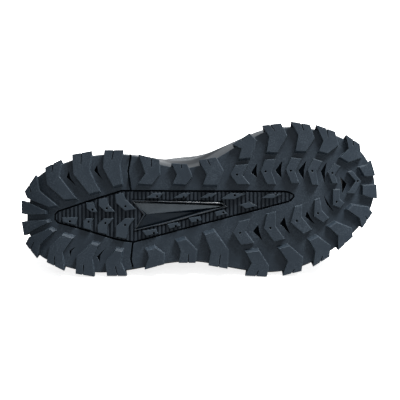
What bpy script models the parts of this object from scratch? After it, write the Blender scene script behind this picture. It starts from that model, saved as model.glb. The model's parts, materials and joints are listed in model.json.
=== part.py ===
"""Left trail running shoe, lying on its outer side with the sole towards the viewer.

It is modelled standing: x runs from heel to toe, y towards the outer side and z up from the
plane of the lug tops. At the end the whole shoe is laid down on the sole's outer edge and the
upper. Lengths are in metres. Tables hold percentages: along is of the shoe's length, across is
of the ball's width, measured from the shoe's long axis, positive towards the outer side.
"""
import math
from collections import namedtuple

import bmesh
import bpy
from mathutils import Matrix, Vector
from mathutils.geometry import intersect_point_line

# Driving dimensions of the sole
shoe_length = 0.292
ball_width = 0.116
lug_height = 0.0045
plate = 0.003
rand_height = 0.0065
rand_wall = 0.0028
toe_spring = 0.020
toe_spring_start = 0.74
heel_lift = 0.009
heel_lift_end = 0.11
heel_rounding = 1.8
arch_lift = 0.0015
arch_start = 0.34
arch_end = 0.60
heel_stack = 0.031
split_gap = 0.0014
groove = 0.0012

# Driving dimensions of the lugs
lug_sink = 0.0015
lug_flare = 0.0005
lug_ramp = 0.0026
lug_ramp_outer = 0.0038
lug_wrap = 0.0048
rim_seat = 0.0015
rim_pull = 0.0006
rim_shoulder = 0.0007
inlay_lug_height = 0.003

# Driving dimensions of the midsole, the upper and what is in it
side_bulge = 0.0012
arch_bulge = 0.0062
feather_inset = 0.012
ledge = 0.0035
collar_height = 0.098
wall = 0.0022
collar_wall = 0.0050
collar_flare = 0.020
rand_step = 0.0010
eyestay_step = 0.0008
insole_thickness = 0.0045
insole_edge = 0.00315
tongue_thickness = 0.0040
tongue_rise = 0.024
lace_width = 0.0055
lace_thickness = 0.0014
lace_lift = 0.0014
window_clearance = 0.0005
plate_keel = 0.0013
facet_depth = 0.00225
clearance = 0.0003
insole_clearance = 0.0008
tongue_clearance = 0.0007

PERCENT = 0.01

# The sole's edge between its lugs, from heel to toe
Edge = namedtuple("Edge", "along inner outer")
SOLE_EDGE = [
    Edge(1.5, 10.9, 14.4),
    Edge(2.1, 2.8, 22.4),
    Edge(2.9, -5.6, 30.1),
    Edge(4.6, -16.4, 37.8),
    Edge(6.5, -19.6, 40.9),
    Edge(8.8, -22.4, 43.6),
    Edge(11.6, -25.2, 45.9),
    Edge(15.5, -28.9, 48.7),
    Edge(19.9, -30.8, 50.6),
    Edge(24.5, -32.0, 50.5),
    Edge(28.8, -31.8, 49.4),
    Edge(32.7, -30.5, 47.6),
    Edge(36.0, -27.6, 46.0),
    Edge(38.9, -24.9, 44.7),
    Edge(42.6, -22.9, 43.2),
    Edge(46.9, -22.6, 42.4),
    Edge(50.5, -24.4, 42.8),
    Edge(54.5, -29.0, 44.8),
    Edge(59.2, -36.2, 47.3),
    Edge(63.0, -41.6, 48.9),
    Edge(67.3, -47.0, 50.3),
    Edge(71.2, -49.7, 50.1),
    Edge(75.1, -51.0, 48.7),
    Edge(78.4, -50.8, 46.1),
    Edge(81.8, -49.4, 42.6),
    Edge(86.2, -46.6, 35.8),
    Edge(90.1, -43.3, 29.0),
    Edge(93.0, -39.0, 23.0),
    Edge(95.6, -33.4, 16.1),
    Edge(97.5, -26.6, 9.0),
    Edge(98.8, -18.4, 0.6),
    Edge(99.3, -11.9, -7.0),
]

# Height of the footbed above the ground line, as a percentage of the heel's stack
STACK = [(0, 97), (10, 100), (22, 100), (42, 93), (60, 82), (75, 72), (90, 60), (100, 55)]

# The bent groove that parts the heel's rubber from the forefoot's, from the inner to the outer side
Corner = namedtuple("Corner", "along across")
SPLIT = [
    Corner(30.6, -90),
    Corner(30.6, -31),
    Corner(29.9, -20),
    Corner(30.7, -7),
    Corner(31.2, 30),
    Corner(30.7, 42),
    Corner(31.2, 47),
    Corner(31.2, 90),
]

# Step in from the sole's edge to the upper, as a percentage of the feather inset
FEATHER = [
    Edge(0, 75, 75),
    Edge(8, 85, 85),
    Edge(20, 100, 100),
    Edge(33, 70, 85),
    Edge(45, -25, 30),
    Edge(57, 20, 45),
    Edge(73, 65, 65),
    Edge(90, 60, 60),
    Edge(100, 55, 55),
]

# How far the midsole swells past the sole's inner edge, as a percentage of the arch bulge
ARCH = [(30, 0), (36, 30), (41, 75), (50, 100), (56, 90), (61, 50), (67, 35), (74, 0), (100, 0)]

# The midsole's side from the rand up: height, swelling and lean towards the upper
Step = namedtuple("Step", "height swell lean")
SIDE_STEPS = [
    Step(0, 30, 0),
    Step(12, 100, 0),
    Step(38, 100, 8),
    Step(45, 35, 12),
    Step(52, 35, 16),
    Step(58, 95, 22),
    Step(84, 80, 65),
    Step(100, 20, 100),
]

# The upper's meridians: each starts at the sole's station and ends on the collar or the throat.
# rise and drop are percentages of its height, reach of its way across, bulge of the wall's swelling
Meridian = namedtuple("Meridian", "station along inner outer height rise bulge reach drop")
upper_bulge = 0.005
MERIDIANS = [
    Meridian(1.5, 4.8, 11.2, 12.8, 100.0, 42, 125, -14, 34),
    Meridian(2.1, 5.0, 6.5, 17.5, 99.8, 42, 125, -14, 34),
    Meridian(2.9, 5.5, 2.0, 22.0, 99.3, 42, 115, -12, 34),
    Meridian(4.6, 6.7, -3.0, 27.0, 98.0, 42, 100, -8, 34),
    Meridian(6.5, 8.3, -7.0, 31.0, 95.5, 42, 80, -4, 34),
    Meridian(11.6, 12.3, -11.5, 35.5, 89.5, 42, 60, 0, 34),
    Meridian(19.9, 19.0, -13.5, 38.0, 84.0, 42, 60, 4, 34),
    Meridian(28.8, 26.3, -12.5, 37.0, 84.5, 44, 60, 8, 32),
    Meridian(36.0, 32.0, -8.0, 31.5, 92.0, 48, 60, 18, 26),
    Meridian(41.6, 36.3, -4.0, 26.5, 100.0, 52, 60, 30, 20),
    Meridian(49.7, 42.5, -3.0, 22.0, 94.0, 58, 60, 38, 16),
    Meridian(57.0, 49.0, -4.5, 18.0, 85.0, 64, 60, 44, 13),
    Meridian(65.0, 56.0, -6.5, 14.5, 76.0, 70, 60, 47, 10),
    Meridian(72.8, 62.5, -8.0, 11.0, 68.5, 74, 70, 49, 8),
    Meridian(81.2, 67.8, -7.5, 7.0, 63.0, 79, 80, 50, 8),
    Meridian(90.1, 70.6, -5.0, 3.0, 60.3, 85, 90, 50, 8),
    Meridian(95.1, 71.4, -3.2, 1.2, 59.4, 90, 95, 50, 8),
    Meridian(99.3, 71.8, -1.4, -0.6, 59.0, 92, 100, 50, 8),
]
OUTER_LEVELS = [0, 10, 20, 21.5, 30, 42, 54, 66, 78, 84.5, 86, 93, 100]
INNER_LEVELS = [100, 90, 78, 64, 48, 32, 16, 0]
rand_level = 20
eyestay_level = 86
toe_rand_start = 78
heel_rand_end = 12
collar_end = 36
padding_start = 50
padding_rise = 35
padding_fade = 8

# Each lug is a bent bar: sections from the rim, or from its top end, inwards.
# width is a percentage of the shoe's length and turn the section's slant in degrees
Section = namedtuple("Section", "along across width turn")
HEEL_RIM_LUGS = {
    "back_inner": [(2.5, -11.9, 5.8, -55), (3.4, -3.9, 4.1, -31), (8.9, 4.2, 2.3, -9)],
    "back_middle": [(0.0, 4.9, 3.8, 90), (3.1, 6.6, 2.8, 90), (6.9, 8.6, 0.9, 90)],
    "back_edge": [(0.35, 20.3, 4.0, 80), (3.1, 17.9, 2.5, 82), (7.3, 15.1, 0.8, 60)],
    "back_outer": [(2.8, 35.9, 5.3, 50), (3.7, 28.6, 3.8, 30), (8.5, 21.3, 1.5, 33)],
    "inner_1": [(9.05, -25.6, 5.1, -26), (9.0, -13.7, 4.0, -32), (13.8, -0.8, 3.4, -5)],
    "inner_2": [(17.1, -33.2, 5.6, -10), (16.9, -19.5, 4.5, -13), (20.5, -5.5, 3.0, -15)],
    "inner_3": [(26.0, -35.1, 5.3, 0), (25.3, -23.5, 4.7, -9), (27.0, -10.6, 2.6, -16)],
    "outer_1": [(9.7, 46.7, 5.5, 26), (9.9, 34.7, 3.9, 22), (13.0, 25.9, 3.0, 19)],
    "outer_2": [(18.0, 52.8, 5.4, 9), (17.8, 40.6, 4.4, 7), (20.6, 31.3, 2.0, 13)],
    "outer_3": [(26.9, 53.3, 5.6, 0), (25.8, 44.1, 4.3, 2), (27.3, 35.8, 1.9, 13)],
}
FRONT_RIM_LUGS = {
    "inner_4": [(35.8, -30.1, 5.9, 15), (36.8, -18.3, 4.0, 3), (34.7, -11.3, 3.7, 4)],
    "inner_5": [(44.2, -25.6, 4.3, 3), (45.7, -17.1, 4.2, 7), (44.3, -11.3, 3.7, 4)],
    "inner_6": [(52.0, -29.0, 4.8, -10), (54.2, -19.3, 4.7, -13), (52.9, -10.8, 4.0, 2)],
    "inner_7": [(61.4, -43.0, 5.8, -33), (63.7, -38.9, 4.7, -27), (62.5, -29.5, 3.2, -6)],
    "inner_8": [(69.9, -53.1, 5.3, -7), (71.8, -44.9, 5.0, -2), (70.1, -33.7, 3.0, 3)],
    "inner_9": [(78.0, -54.0, 5.4, 9), (79.7, -44.5, 4.6, 11), (78.1, -34.5, 2.9, 2)],
    "inner_10": [(85.1, -50.5, 5.7, 19), (86.6, -40.1, 4.4, 15), (84.5, -33.7, 2.6, 12)],
    "inner_11": [(92.9, -42.8, 4.8, 33), (93.5, -33.0, 4.4, 34), (90.5, -28.5, 2.7, 30)],
    "toe_inner": [(98.8, -22.9, 4.6, 73), (97.1, -20.8, 3.1, 83), (95.6, -20.2, 2.9, 59)],
    "toe_middle": [(99.9, -6.0, 3.9, 87), (97.6, -6.4, 3.4, 90), (95.8, -7.0, 2.7, 90)],
    "toe_outer": [(97.1, 14.6, 5.3, -55), (96.1, 8.8, 4.0, -51), (92.2, 5.2, 2.0, -42)],
    "outer_11": [(90.8, 30.7, 5.7, -42), (90.6, 22.5, 4.4, -29), (87.2, 17.6, 2.5, -32)],
    "outer_10": [(83.9, 43.3, 5.4, -31), (84.3, 33.9, 4.5, -20), (81.8, 27.3, 2.6, -26)],
    "outer_9": [(75.7, 51.5, 5.4, -14), (76.6, 41.6, 4.3, -14), (73.5, 33.3, 2.9, -16)],
    "outer_8": [(65.6, 53.5, 6.1, 3), (66.8, 45.2, 4.7, 9), (64.7, 36.4, 3.7, -6)],
    "outer_7": [(55.0, 47.1, 5.4, 10), (55.5, 35.6, 4.8, -7), (52.8, 23.5, 3.0, -17)],
    "outer_6": [(46.4, 44.2, 4.7, 0), (46.9, 35.4, 4.4, -5), (44.9, 28.6, 2.6, -18)],
    "outer_5": [(37.3, 47.0, 5.6, -15), (37.9, 39.0, 4.4, -14), (36.5, 34.7, 2.6, -20)],
}
CHEVRON_LUGS = {
    "a": [(61.6, -24.7, 3.5, -5), (60.1, -17.6, 3.3, 0), (62.1, -11.1, 3.3, 0)],
    "b": [(69.5, -28.4, 2.7, -4), (68.4, -20.0, 3.0, 8), (69.9, -11.2, 2.4, 0)],
    "c": [(76.8, -29.3, 2.8, 7), (75.2, -20.7, 2.5, 10), (76.5, -11.9, 2.0, 0)],
    "d": [(82.9, -28.0, 2.6, 16), (81.2, -20.4, 2.4, 13), (82.1, -10.8, 1.6, 0)],
    "e": [(88.4, -24.5, 1.7, 27), (86.7, -18.8, 2.0, 20), (87.7, -11.8, 1.4, 0)],
    "f": [(92.0, -20.2, 1.1, -19), (94.5, -13.4, 1.5, 0), (92.4, -4.8, 2.0, 5)],
    "g": [(62.4, 14.3, 2.9, -13), (60.9, 22.3, 3.4, -5), (63.2, 30.7, 3.5, -9)],
    "h": [(69.8, 9.1, 2.4, -15), (69.4, 19.1, 3.1, -10), (72.1, 28.2, 2.9, -14)],
    "i": [(77.4, 4.2, 2.0, -15), (76.8, 14.0, 3.3, -25), (80.0, 22.1, 2.5, -28)],
    "j": [(82.7, -0.6, 1.4, -18), (82.9, 9.4, 2.6, -36), (85.2, 14.2, 2.0, -38)],
    "k": [(88.1, -7.3, 1.8, 0), (88.1, 1.5, 2.4, -42), (89.8, 3.8, 1.7, -50)],
}

# The inlay between the lugs, a spear with its point at the ball, and its own small lugs
INLAY_EDGE = [
    Edge(9.5, 10.2, 13.7),
    Edge(10.3, 8.0, 15.9),
    Edge(16.2, 3.0, 19.8),
    Edge(22.1, -1.8, 24.2),
    Edge(26.2, -5.0, 27.3),
    Edge(28.0, -6.5, 28.3),
    Edge(31.4, -6.5, 29.6),
    Edge(38.1, -6.4, 25.2),
    Edge(47.2, -6.3, 19.1),
    Edge(61.4, -6.2, 9.8),
    Edge(73.7, -6.0, 1.8),
    Edge(75.1, -5.3, 0.7),
    Edge(76.2, -3.4, -2.2),
]
INLAY_LUGS = {
    "1": [(19.3, 2.0, 2.0, 0), (19.5, 5.5, 2.2, -9), (20.5, 8.3, 1.4, 0)],
    "2": [(22.9, -0.9, 2.3, -12), (23.0, 3.3, 2.5, -8), (24.9, 8.2, 2.5, 0)],
    "3": [(27.4, -4.2, 2.1, -15), (27.9, 0.8, 2.8, -18), (30.5, 6.9, 2.9, -9)],
    "4": [(13.7, 12.5, 4.2, 0), (13.5, 16.3, 3.6, 13)],
    "5": [(19.2, 13.1, 2.0, 0), (18.5, 16.0, 2.2, 14), (18.5, 20.2, 2.0, 15)],
    "6": [(24.5, 13.1, 2.6, 0), (22.8, 17.6, 2.8, 0), (22.7, 23.2, 2.4, 12)],
    "7": [(30.4, 13.1, 2.6, 0), (28.4, 18.2, 3.6, -5), (27.9, 26.4, 2.8, 14)],
    "8": [(38.3, -4.8, 2.6, 0), (36.8, -1.5, 3.5, 0)],
    "9": [(46.0, -4.6, 2.2, 0), (44.3, -1.5, 3.4, -3)],
    "10": [(53.4, -4.5, 2.1, 5), (51.6, -1.5, 2.6, 0)],
    "11": [(60.6, -4.6, 4.1, 4), (57.7, -0.6, 3.5, 0)],
    "12": [(71.0, -4.2, 3.6, 0), (68.8, -1.4, 3.0, 0)],
    "13": [(35.8, 21.2, 3.6, -10), (36.6, 24.2, 3.2, -12)],
    "14": [(42.3, 16.4, 2.7, -12), (43.0, 19.0, 3.1, -14)],
    "15": [(48.4, 12.2, 3.0, -9), (49.0, 15.0, 2.8, -14)],
    "16": [(55.4, 7.8, 2.5, -15), (56.0, 10.4, 3.0, -14)],
    "17": [(62.5, 2.5, 2.7, -20), (64.3, 5.0, 3.0, -14)],
}

# The arrow-shaped window in the inlay, round from its upper tail, with its notch second
WINDOW = [
    Corner(31.1, 0.5),
    Corner(34.5, 10.1),
    Corner(31.7, 21.2),
    Corner(41.7, 15.4),
    Corner(51.0, 8.6),
    Corner(57.4, 4.7),
    Corner(56.2, 2.2),
]
window_keel = (1, 5)

# The tongue, from its front station to its top one, and the levels of its tucked-in edges
tongue_front = 88
tongue_top = 42
tongue_tuck = 82
tongue_tuck_top = 93
tongue_edge = 97.5

# The tongue's front under the vamp: how far on, how far down and how much narrower
tongue_reach = 0.010
tongue_drop = 0.0045
tongue_front_narrowing = 0.25

# The tongue's free top: how far up each step is, how much it narrows, and its thinner rim
TONGUE_STEPS = (0.35, 0.7, 1.0)
tongue_narrowing = 0.18
tongue_rim_share = 0.35
tongue_shoulder_share = 0.8

# Where the tongue and the laces cross the throat, as shares of the way over
CROSSING = (0.25, 0.5, 0.75)

# Eyelets, as stations of the upper from the top down
EYELETS = [43.5, 48.5, 54.0, 60.0, 66.5, 73.5]
eyelet_level = 91
lace_turn_level = 99


def clear_scene():
    for item in list(bpy.data.objects):
        bpy.data.objects.remove(item, do_unlink=True)


def table_value(rows, at, column):
    """A smooth reading of one column of a table whose first column rises."""
    keys = [row[0] for row in rows]
    values = [row[column] for row in rows]
    if at <= keys[0]:
        return values[0]
    if at >= keys[-1]:
        return values[-1]
    slopes = [(values[i + 1] - values[i]) / (keys[i + 1] - keys[i]) for i in range(len(rows) - 1)]

    def slope_at(i):
        if i == 0 or i == len(rows) - 1:
            return slopes[min(i, len(slopes) - 1)]
        before, after = slopes[i - 1], slopes[i]
        if before * after <= 0:
            return 0.0
        return 2 * before * after / (before + after)

    i = max(k for k in range(len(rows) - 1) if keys[k] <= at)
    span = keys[i + 1] - keys[i]
    t = (at - keys[i]) / span
    rising = t * t * (3 - 2 * t)
    leaving = t * (1 - t) ** 2
    arriving = -t * t * (1 - t)
    bend = leaving * slope_at(i) + arriving * slope_at(i + 1)
    return values[i] + rising * (values[i + 1] - values[i]) + bend * span


def place(along, across):
    """A point of the plan from its percentages."""
    return Vector((along * PERCENT * shoe_length, across * PERCENT * ball_width))


def ground_rise(x):
    """Height of the lug tops: level, with toe spring, a rounded heel and a slight arch."""
    share = x / shoe_length
    toe = max(0.0, (share - toe_spring_start) / (1 - toe_spring_start))
    heel = max(0.0, (heel_lift_end - share) / heel_lift_end)
    arch = (share - arch_start) / (arch_end - arch_start)
    lift = arch_lift * math.sin(math.pi * arch) ** 2 if 0 < arch < 1 else 0.0
    return toe_spring * toe ** 2 + heel_lift * heel ** heel_rounding + lift


def base_height(x):
    return ground_rise(x) + lug_height


def footbed_height(x):
    share = x / shoe_length / PERCENT
    return ground_rise(x) + heel_stack * PERCENT * table_value(STACK, share, 1)


def plan_loop(rows):
    """A closed loop: the outer side from heel to toe, then the inner side back."""
    outer = [place(row.along, row.outer) for row in rows]
    inner = [place(row.along, row.inner) for row in rows]
    return outer + inner[::-1]


def outward(loop):
    count = len(loop)
    normals = []
    for i in range(count):
        way = loop[(i + 1) % count] - loop[i - 1]
        normals.append(Vector((-way.y, way.x)).normalized())
    return normals


def grown(loop, distances):
    """A loop moved outwards, each side by its own distance or all by one."""
    if isinstance(distances, float):
        distances = [distances] * len(loop)
    count = len(loop)
    moved = []
    for i, p in enumerate(loop):
        before = p - loop[i - 1]
        after = loop[(i + 1) % count] - p
        one = Vector((-before.y, before.x)).normalized()
        two = Vector((-after.y, after.x)).normalized()
        moved.append(p + (one + two) / (1 + one.dot(two)) * distances[i])
    return moved


def lifted(loop, height):
    return [Vector((p.x, p.y, height(p.x))) for p in loop]


SOLE_LOOP = plan_loop(SOLE_EDGE)
STATIONS = [row.along for row in SOLE_EDGE]
STATION_ROUND = STATIONS + STATIONS[::-1]
ROUND = len(SOLE_LOOP)


def is_outer(i):
    return i < ROUND // 2


def side_value(rows, i):
    """A table's value at a point of the loop, on the side that the point is on."""
    return table_value(rows, STATION_ROUND[i], 2 if is_outer(i) else 1)


def new_object(name, mesh):
    item = bpy.data.objects.new(name, mesh)
    bpy.context.collection.objects.link(item)
    return item


def solid(name, points, faces):
    """An object from points and faces, its faces turned outwards."""
    mesh = bpy.data.meshes.new(name)
    mesh.from_pydata([tuple(p) for p in points], [], faces)
    form = bmesh.new()
    form.from_mesh(mesh)
    bmesh.ops.triangulate(form, faces=form.faces)
    bmesh.ops.recalc_face_normals(form, faces=form.faces)
    form.to_mesh(mesh)
    form.free()
    return new_object(name, mesh)


def bands(loops, ring):
    """Faces between neighbouring loops, and from the last back to the first on a ring."""
    count = len(loops[0])
    faces = []
    for level in range(len(loops) if ring else len(loops) - 1):
        low = level * count
        high = ((level + 1) % len(loops)) * count
        for i in range(count):
            j = (i + 1) % count
            faces.append((low + i, low + j, high + j, high + i))
    return faces


def cap(first, count):
    """Strips across a loop whose two halves face each other."""
    faces = []
    for i in range(count // 2 - 1):
        faces.append((first + i, first + i + 1, first + count - 2 - i, first + count - 1 - i))
    return faces


def stack(name, loops):
    count = len(loops[0])
    points = [p for loop in loops for p in loop]
    faces = bands(loops, False) + cap(0, count) + cap((len(loops) - 1) * count, count)
    return solid(name, points, faces)


def prism(name, outline, low, high):
    """An upright prism over any plan outline."""
    count = len(outline)
    points = [(p.x, p.y, low) for p in outline] + [(p.x, p.y, high) for p in outline]
    ends = [tuple(range(count)), tuple(range(count, 2 * count))]
    return solid(name, points, bands([outline, outline], False) + ends)


def box(name, low, high):
    outline = [Vector((low[0], low[1])), Vector((high[0], low[1]))]
    outline += [Vector((high[0], high[1])), Vector((low[0], high[1]))]
    return prism(name, outline, low[2], high[2])


def combine(item, tool, operation):
    """Cut or join a solid with a tool, which is used up."""
    step = item.modifiers.new(operation.lower(), "BOOLEAN")
    step.operation = operation
    step.solver = "EXACT"
    step.object = tool
    graph = bpy.context.evaluated_depsgraph_get()
    mesh = bpy.data.meshes.new_from_object(item.evaluated_get(graph))
    item.modifiers.clear()
    item.data = mesh
    bpy.data.objects.remove(tool, do_unlink=True)


def joined(name, pieces):
    """Several solids that don't touch, as one tool."""
    form = bmesh.new()
    for piece in pieces:
        form.from_mesh(piece.data)
        bpy.data.objects.remove(piece, do_unlink=True)
    mesh = bpy.data.meshes.new(name)
    form.to_mesh(mesh)
    form.free()
    return new_object(name, mesh)


def nearest_on_edge(p):
    """The closest point of the sole's edge, how deep inside it the point lies, and the way in."""
    best = None
    inside = False
    for i in range(ROUND):
        a, b = SOLE_LOOP[i], SOLE_LOOP[(i + 1) % ROUND]
        foot, share = intersect_point_line(p, a, b)
        foot = a.lerp(b, min(1.0, max(0.0, share)))
        gap = (p - foot).length
        if best is None or gap < best[0]:
            best = (gap, foot, Vector((b.y - a.y, a.x - b.x)).normalized())
        if (a.y > p.y) != (b.y > p.y) and p.x < a.x + (p.y - a.y) * (b.x - a.x) / (b.y - a.y):
            inside = not inside
    gap, foot, inwards = best
    return foot, gap if inside else -gap, inwards


def seat_share(start, end):
    """Where a lug's side crosses onto the sole, as a share of the way, or None."""
    low, high = 0.0, 1.0
    if nearest_on_edge(start)[1] >= rim_seat or nearest_on_edge(end)[1] < rim_seat:
        return None
    for _ in range(30):
        middle = (low + high) / 2
        if nearest_on_edge(start.lerp(end, middle))[1] < rim_seat:
            low = middle
        else:
            high = middle
    return high


def rim_corner(p):
    """Ring of heights for a corner that overhangs the sole's edge and wraps up its rand."""
    foot, _, inwards = nearest_on_edge(p)
    shoulder = p + inwards * rim_shoulder
    seat = foot + inwards * rim_pull
    return [
        Vector((p.x, p.y, ground_rise(p.x))),
        Vector((shoulder.x, shoulder.y, base_height(p.x))),
        Vector((seat.x, seat.y, base_height(seat.x) + lug_wrap)),
    ]


def floor_corner(p, flare, height):
    """Ring of heights for a corner that stands on the sole."""
    low = base_height(p.x) - height
    half = p + flare / 2
    foot = p + flare
    return [
        Vector((p.x, p.y, low)),
        Vector((half.x, half.y, low + height / 2)),
        Vector((foot.x, foot.y, base_height(p.x) + lug_sink)),
    ]


def lug(sections, on_rim, height, ramp):
    """One lug from its sections, with drafted sides and a sloped inner end."""
    rows = [Section(*row) for row in sections]
    ways = [Vector((math.cos(math.radians(r.turn)), math.sin(math.radians(r.turn)))) for r in rows]
    middles = [place(row.along, row.across) for row in rows]
    halves = [row.width * PERCENT * shoe_length / 2 for row in rows]
    sides = []
    for sign in (-1, 1):
        plan = [m + w * (sign * h) for m, w, h in zip(middles, ways, halves)]
        rings = []
        seated = not on_rim
        for k, p in enumerate(plan):
            flare = ways[k] * (sign * lug_flare)
            if k == len(plan) - 1:
                slope = lug_ramp_outer if on_rim and middles[k].y > 0 else ramp
                flare += (middles[k] - middles[k - 1]).normalized() * slope
            elif k == 0:
                flare -= (middles[1] - middles[0]).normalized() * lug_flare
            rings.append(floor_corner(p, flare, height) if seated else rim_corner(p))
            if not seated and k < len(plan) - 1:
                share = seat_share(p, plan[k + 1])
                if share is not None:
                    seated = True
                    seat = p.lerp(plan[k + 1], share)
                    rings.append(floor_corner(seat, ways[k] * (sign * lug_flare), height))
        sides.append(rings)
    left, right = sides
    while len(left) != len(right):
        short = min(sides, key=len)
        short.insert(-1, [a.lerp(b, 0.5) for a, b in zip(short[-2], short[-1])])
    count = len(left)
    loops = [[ring[level] for ring in left + right[::-1]] for level in range(3)]
    points = [p for loop in loops for p in loop]
    faces = bands(loops, False)
    last = 2 * len(loops[0])
    for first in (0, last):
        for k in range(count - 1):
            a, b, c, d = k, k + 1, 2 * count - 2 - k, 2 * count - 1 - k
            high = [points[last + corner].z for corner in (a, b, c, d)]
            low_fold = high[0] + high[2] < high[1] + high[3]
            split = ((a, b, c), (a, c, d)) if low_fold else ((a, b, d), (b, c, d))
            faces += [tuple(first + corner for corner in face) for face in split]
    return solid("lug", points, faces)


def lugs(table, on_rim, height, ramp):
    return [lug(sections, on_rim, height, ramp) for sections in table.values()]


def finish(item, colour, roughness):
    material = bpy.data.materials.new(item.name)
    material.use_nodes = True
    shader = material.node_tree.nodes["Principled BSDF"]
    shader.inputs["Base Color"].default_value = (*colour, 1)
    shader.inputs["Roughness"].default_value = roughness
    item.data.materials.clear()
    item.data.materials.append(material)
    return item


def make_tray(name):
    """The outsole's plate with its rand, whole, before it is parted and pocketed."""
    loops = [
        lifted(SOLE_LOOP, base_height),
        lifted(SOLE_LOOP, lambda x: base_height(x) + rand_height),
        lifted(grown(SOLE_LOOP, -rand_wall), lambda x: base_height(x) + rand_height),
        lifted(grown(SOLE_LOOP, -rand_wall), lambda x: base_height(x) + plate),
    ]
    return stack(name, loops)


def make_outsoles():
    tall = collar_height
    line = [place(c.along, c.across) for c in SPLIT]
    halves = (
        ("outsole_heel", -split_gap / 2, 2 * shoe_length, HEEL_RIM_LUGS, {}),
        ("outsole_forefoot", split_gap / 2, -shoe_length, FRONT_RIM_LUGS, CHEVRON_LUGS),
    )
    pieces = []
    for name, shift, far, rim, inner in halves:
        item = make_tray(name)
        side = [Vector((p.x + shift, p.y)) for p in line]
        side += [Vector((far, line[-1].y)), Vector((far, line[0].y))]
        combine(item, prism("part", side, -tall, tall), "DIFFERENCE")
        pocket = grown(plan_loop(INLAY_EDGE), groove / 2)
        combine(item, prism("pocket", pocket, -tall, tall), "DIFFERENCE")
        bars = lugs(rim, True, lug_height, lug_ramp) + lugs(inner, False, lug_height, lug_flare)
        combine(item, joined("bars", bars), "UNION")
        pieces.append(finish(item, (0.035, 0.045, 0.055), 0.7))
    return pieces


def make_inlay():
    edge = grown(plan_loop(INLAY_EDGE), -groove / 2)
    loops = [lifted(edge, base_height), lifted(edge, lambda x: base_height(x) + plate)]
    item = stack("outsole_center", loops)
    bars = lugs(INLAY_LUGS, False, inlay_lug_height, lug_flare)
    combine(item, joined("bars", bars), "UNION")
    corners = [place(c.along, c.across) for c in WINDOW]
    combine(item, prism("window", corners, -collar_height, collar_height), "DIFFERENCE")
    return finish(item, (0.03, 0.04, 0.05), 0.65)


def make_shank():
    """The plate in the window: two facets that meet in a keel from the notch to the point."""
    outline = grown([place(c.along, c.across) for c in WINDOW], -window_clearance)
    count = len(outline)
    low = []
    for i, p in enumerate(outline):
        sink = plate_keel if i in window_keel else facet_depth
        low.append(Vector((p.x, p.y, base_height(p.x) + sink)))
    high = lifted(outline, lambda x: base_height(x) + plate)
    notch, point = window_keel
    faces = bands([low, high], False)
    faces += [(0, notch, point), (0, point, count - 1)]
    faces += [(notch, k, k + 1) for k in range(2, point)]
    top = [(count, count + notch, count + point), (count, count + point, 2 * count - 1)]
    top += [(count + notch, count + k, count + k + 1) for k in range(2, point)]
    item = solid("shank_plate", low + high, faces + top)
    return finish(item, (0.06, 0.065, 0.07), 0.2)


def feather_distances(extra):
    """How far in from the sole's edge the upper's foot lies, less an extra ledge."""
    return [-(side_value(FEATHER, i) * PERCENT * feather_inset - extra) for i in range(ROUND)]


def swelling(i):
    bulge = side_bulge
    if not is_outer(i):
        bulge += arch_bulge * PERCENT * table_value(ARCH, STATION_ROUND[i], 1)
    return bulge


def make_midsole():
    inset = rand_wall + clearance
    seat = grown(SOLE_LOOP, -inset)
    loops = [
        lifted(seat, lambda x: base_height(x) + plate + clearance),
        lifted(seat, lambda x: base_height(x) + rand_height + clearance),
    ]
    top = feather_distances(ledge)
    for step in SIDE_STEPS:
        out = [swelling(i) * PERCENT * step.swell + top[i] * PERCENT * step.lean for i in range(ROUND)]
        plan = grown(SOLE_LOOP, out)
        level = []
        for p in plan:
            low = base_height(p.x) + rand_height + clearance
            level.append(low + (footbed_height(p.x) - low) * PERCENT * step.height)
        loops.append([Vector((p.x, p.y, z)) for p, z in zip(plan, level)])
    return finish(stack("midsole", loops), (0.04, 0.045, 0.05), 0.6)


FEATHER_LOOP = grown(SOLE_LOOP, feather_distances(0.0))
FEATHER_OUT = outward(FEATHER_LOOP)


def meridian(i, level):
    """A point of the upper's outer face, from its foot at level 0 to its top edge at 1."""
    station = STATION_ROUND[i]

    def column(name):
        return table_value(MERIDIANS, station, Meridian._fields.index(name))

    foot = FEATHER_LOOP[i].to_3d()
    foot.z = footbed_height(foot.x) + clearance
    across = column("outer") if is_outer(i) else column("inner")
    end = place(column("along"), across).to_3d()
    end.z = collar_height * PERCENT * column("height")
    height = end.z - foot.z
    way = (foot - end)
    way.z = 0
    out = FEATHER_OUT[i].to_3d()
    leave = foot + out * (upper_bulge * PERCENT * column("bulge"))
    leave.z += height * PERCENT * column("rise")
    arrive = end + way * PERCENT * column("reach")
    if column("reach") < 0:
        arrive = end - out * (collar_flare * PERCENT * column("reach"))
    arrive.z -= height * PERCENT * column("drop")
    t = level
    return (foot * (1 - t) ** 3 + leave * 3 * t * (1 - t) ** 2
            + arrive * 3 * t * t * (1 - t) + end * t ** 3)


def shell_point(i, level, offset):
    """A point of the upper, offset along its outward normal; the foot stays on its seat."""
    share = level * PERCENT
    small = 0.01
    p = meridian(i, share)
    along = meridian((i + 1) % ROUND, share) - meridian(i - 1, share)
    up = meridian(i, min(1.0, share + small)) - meridian(i, max(0.0, share - small))
    normal = up.cross(along)
    if level == 0:
        normal.z = 0
    p += normal.normalized() * offset
    if level == 0:
        p.z = footbed_height(p.x) + clearance
    return p


def shell(level, offset_at):
    """A loop of the upper at one level."""
    return [shell_point(i, level, offset_at(i)) for i in range(ROUND)]


def outer_offset(i, level):
    """Steps on the wall's outside: the rand round toe and heel, and the eyestay."""
    station = STATION_ROUND[i]
    if level <= rand_level and (station > toe_rand_start or station < heel_rand_end):
        return rand_step
    if level >= eyestay_level and station > collar_end:
        return eyestay_step
    return 0.0


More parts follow.
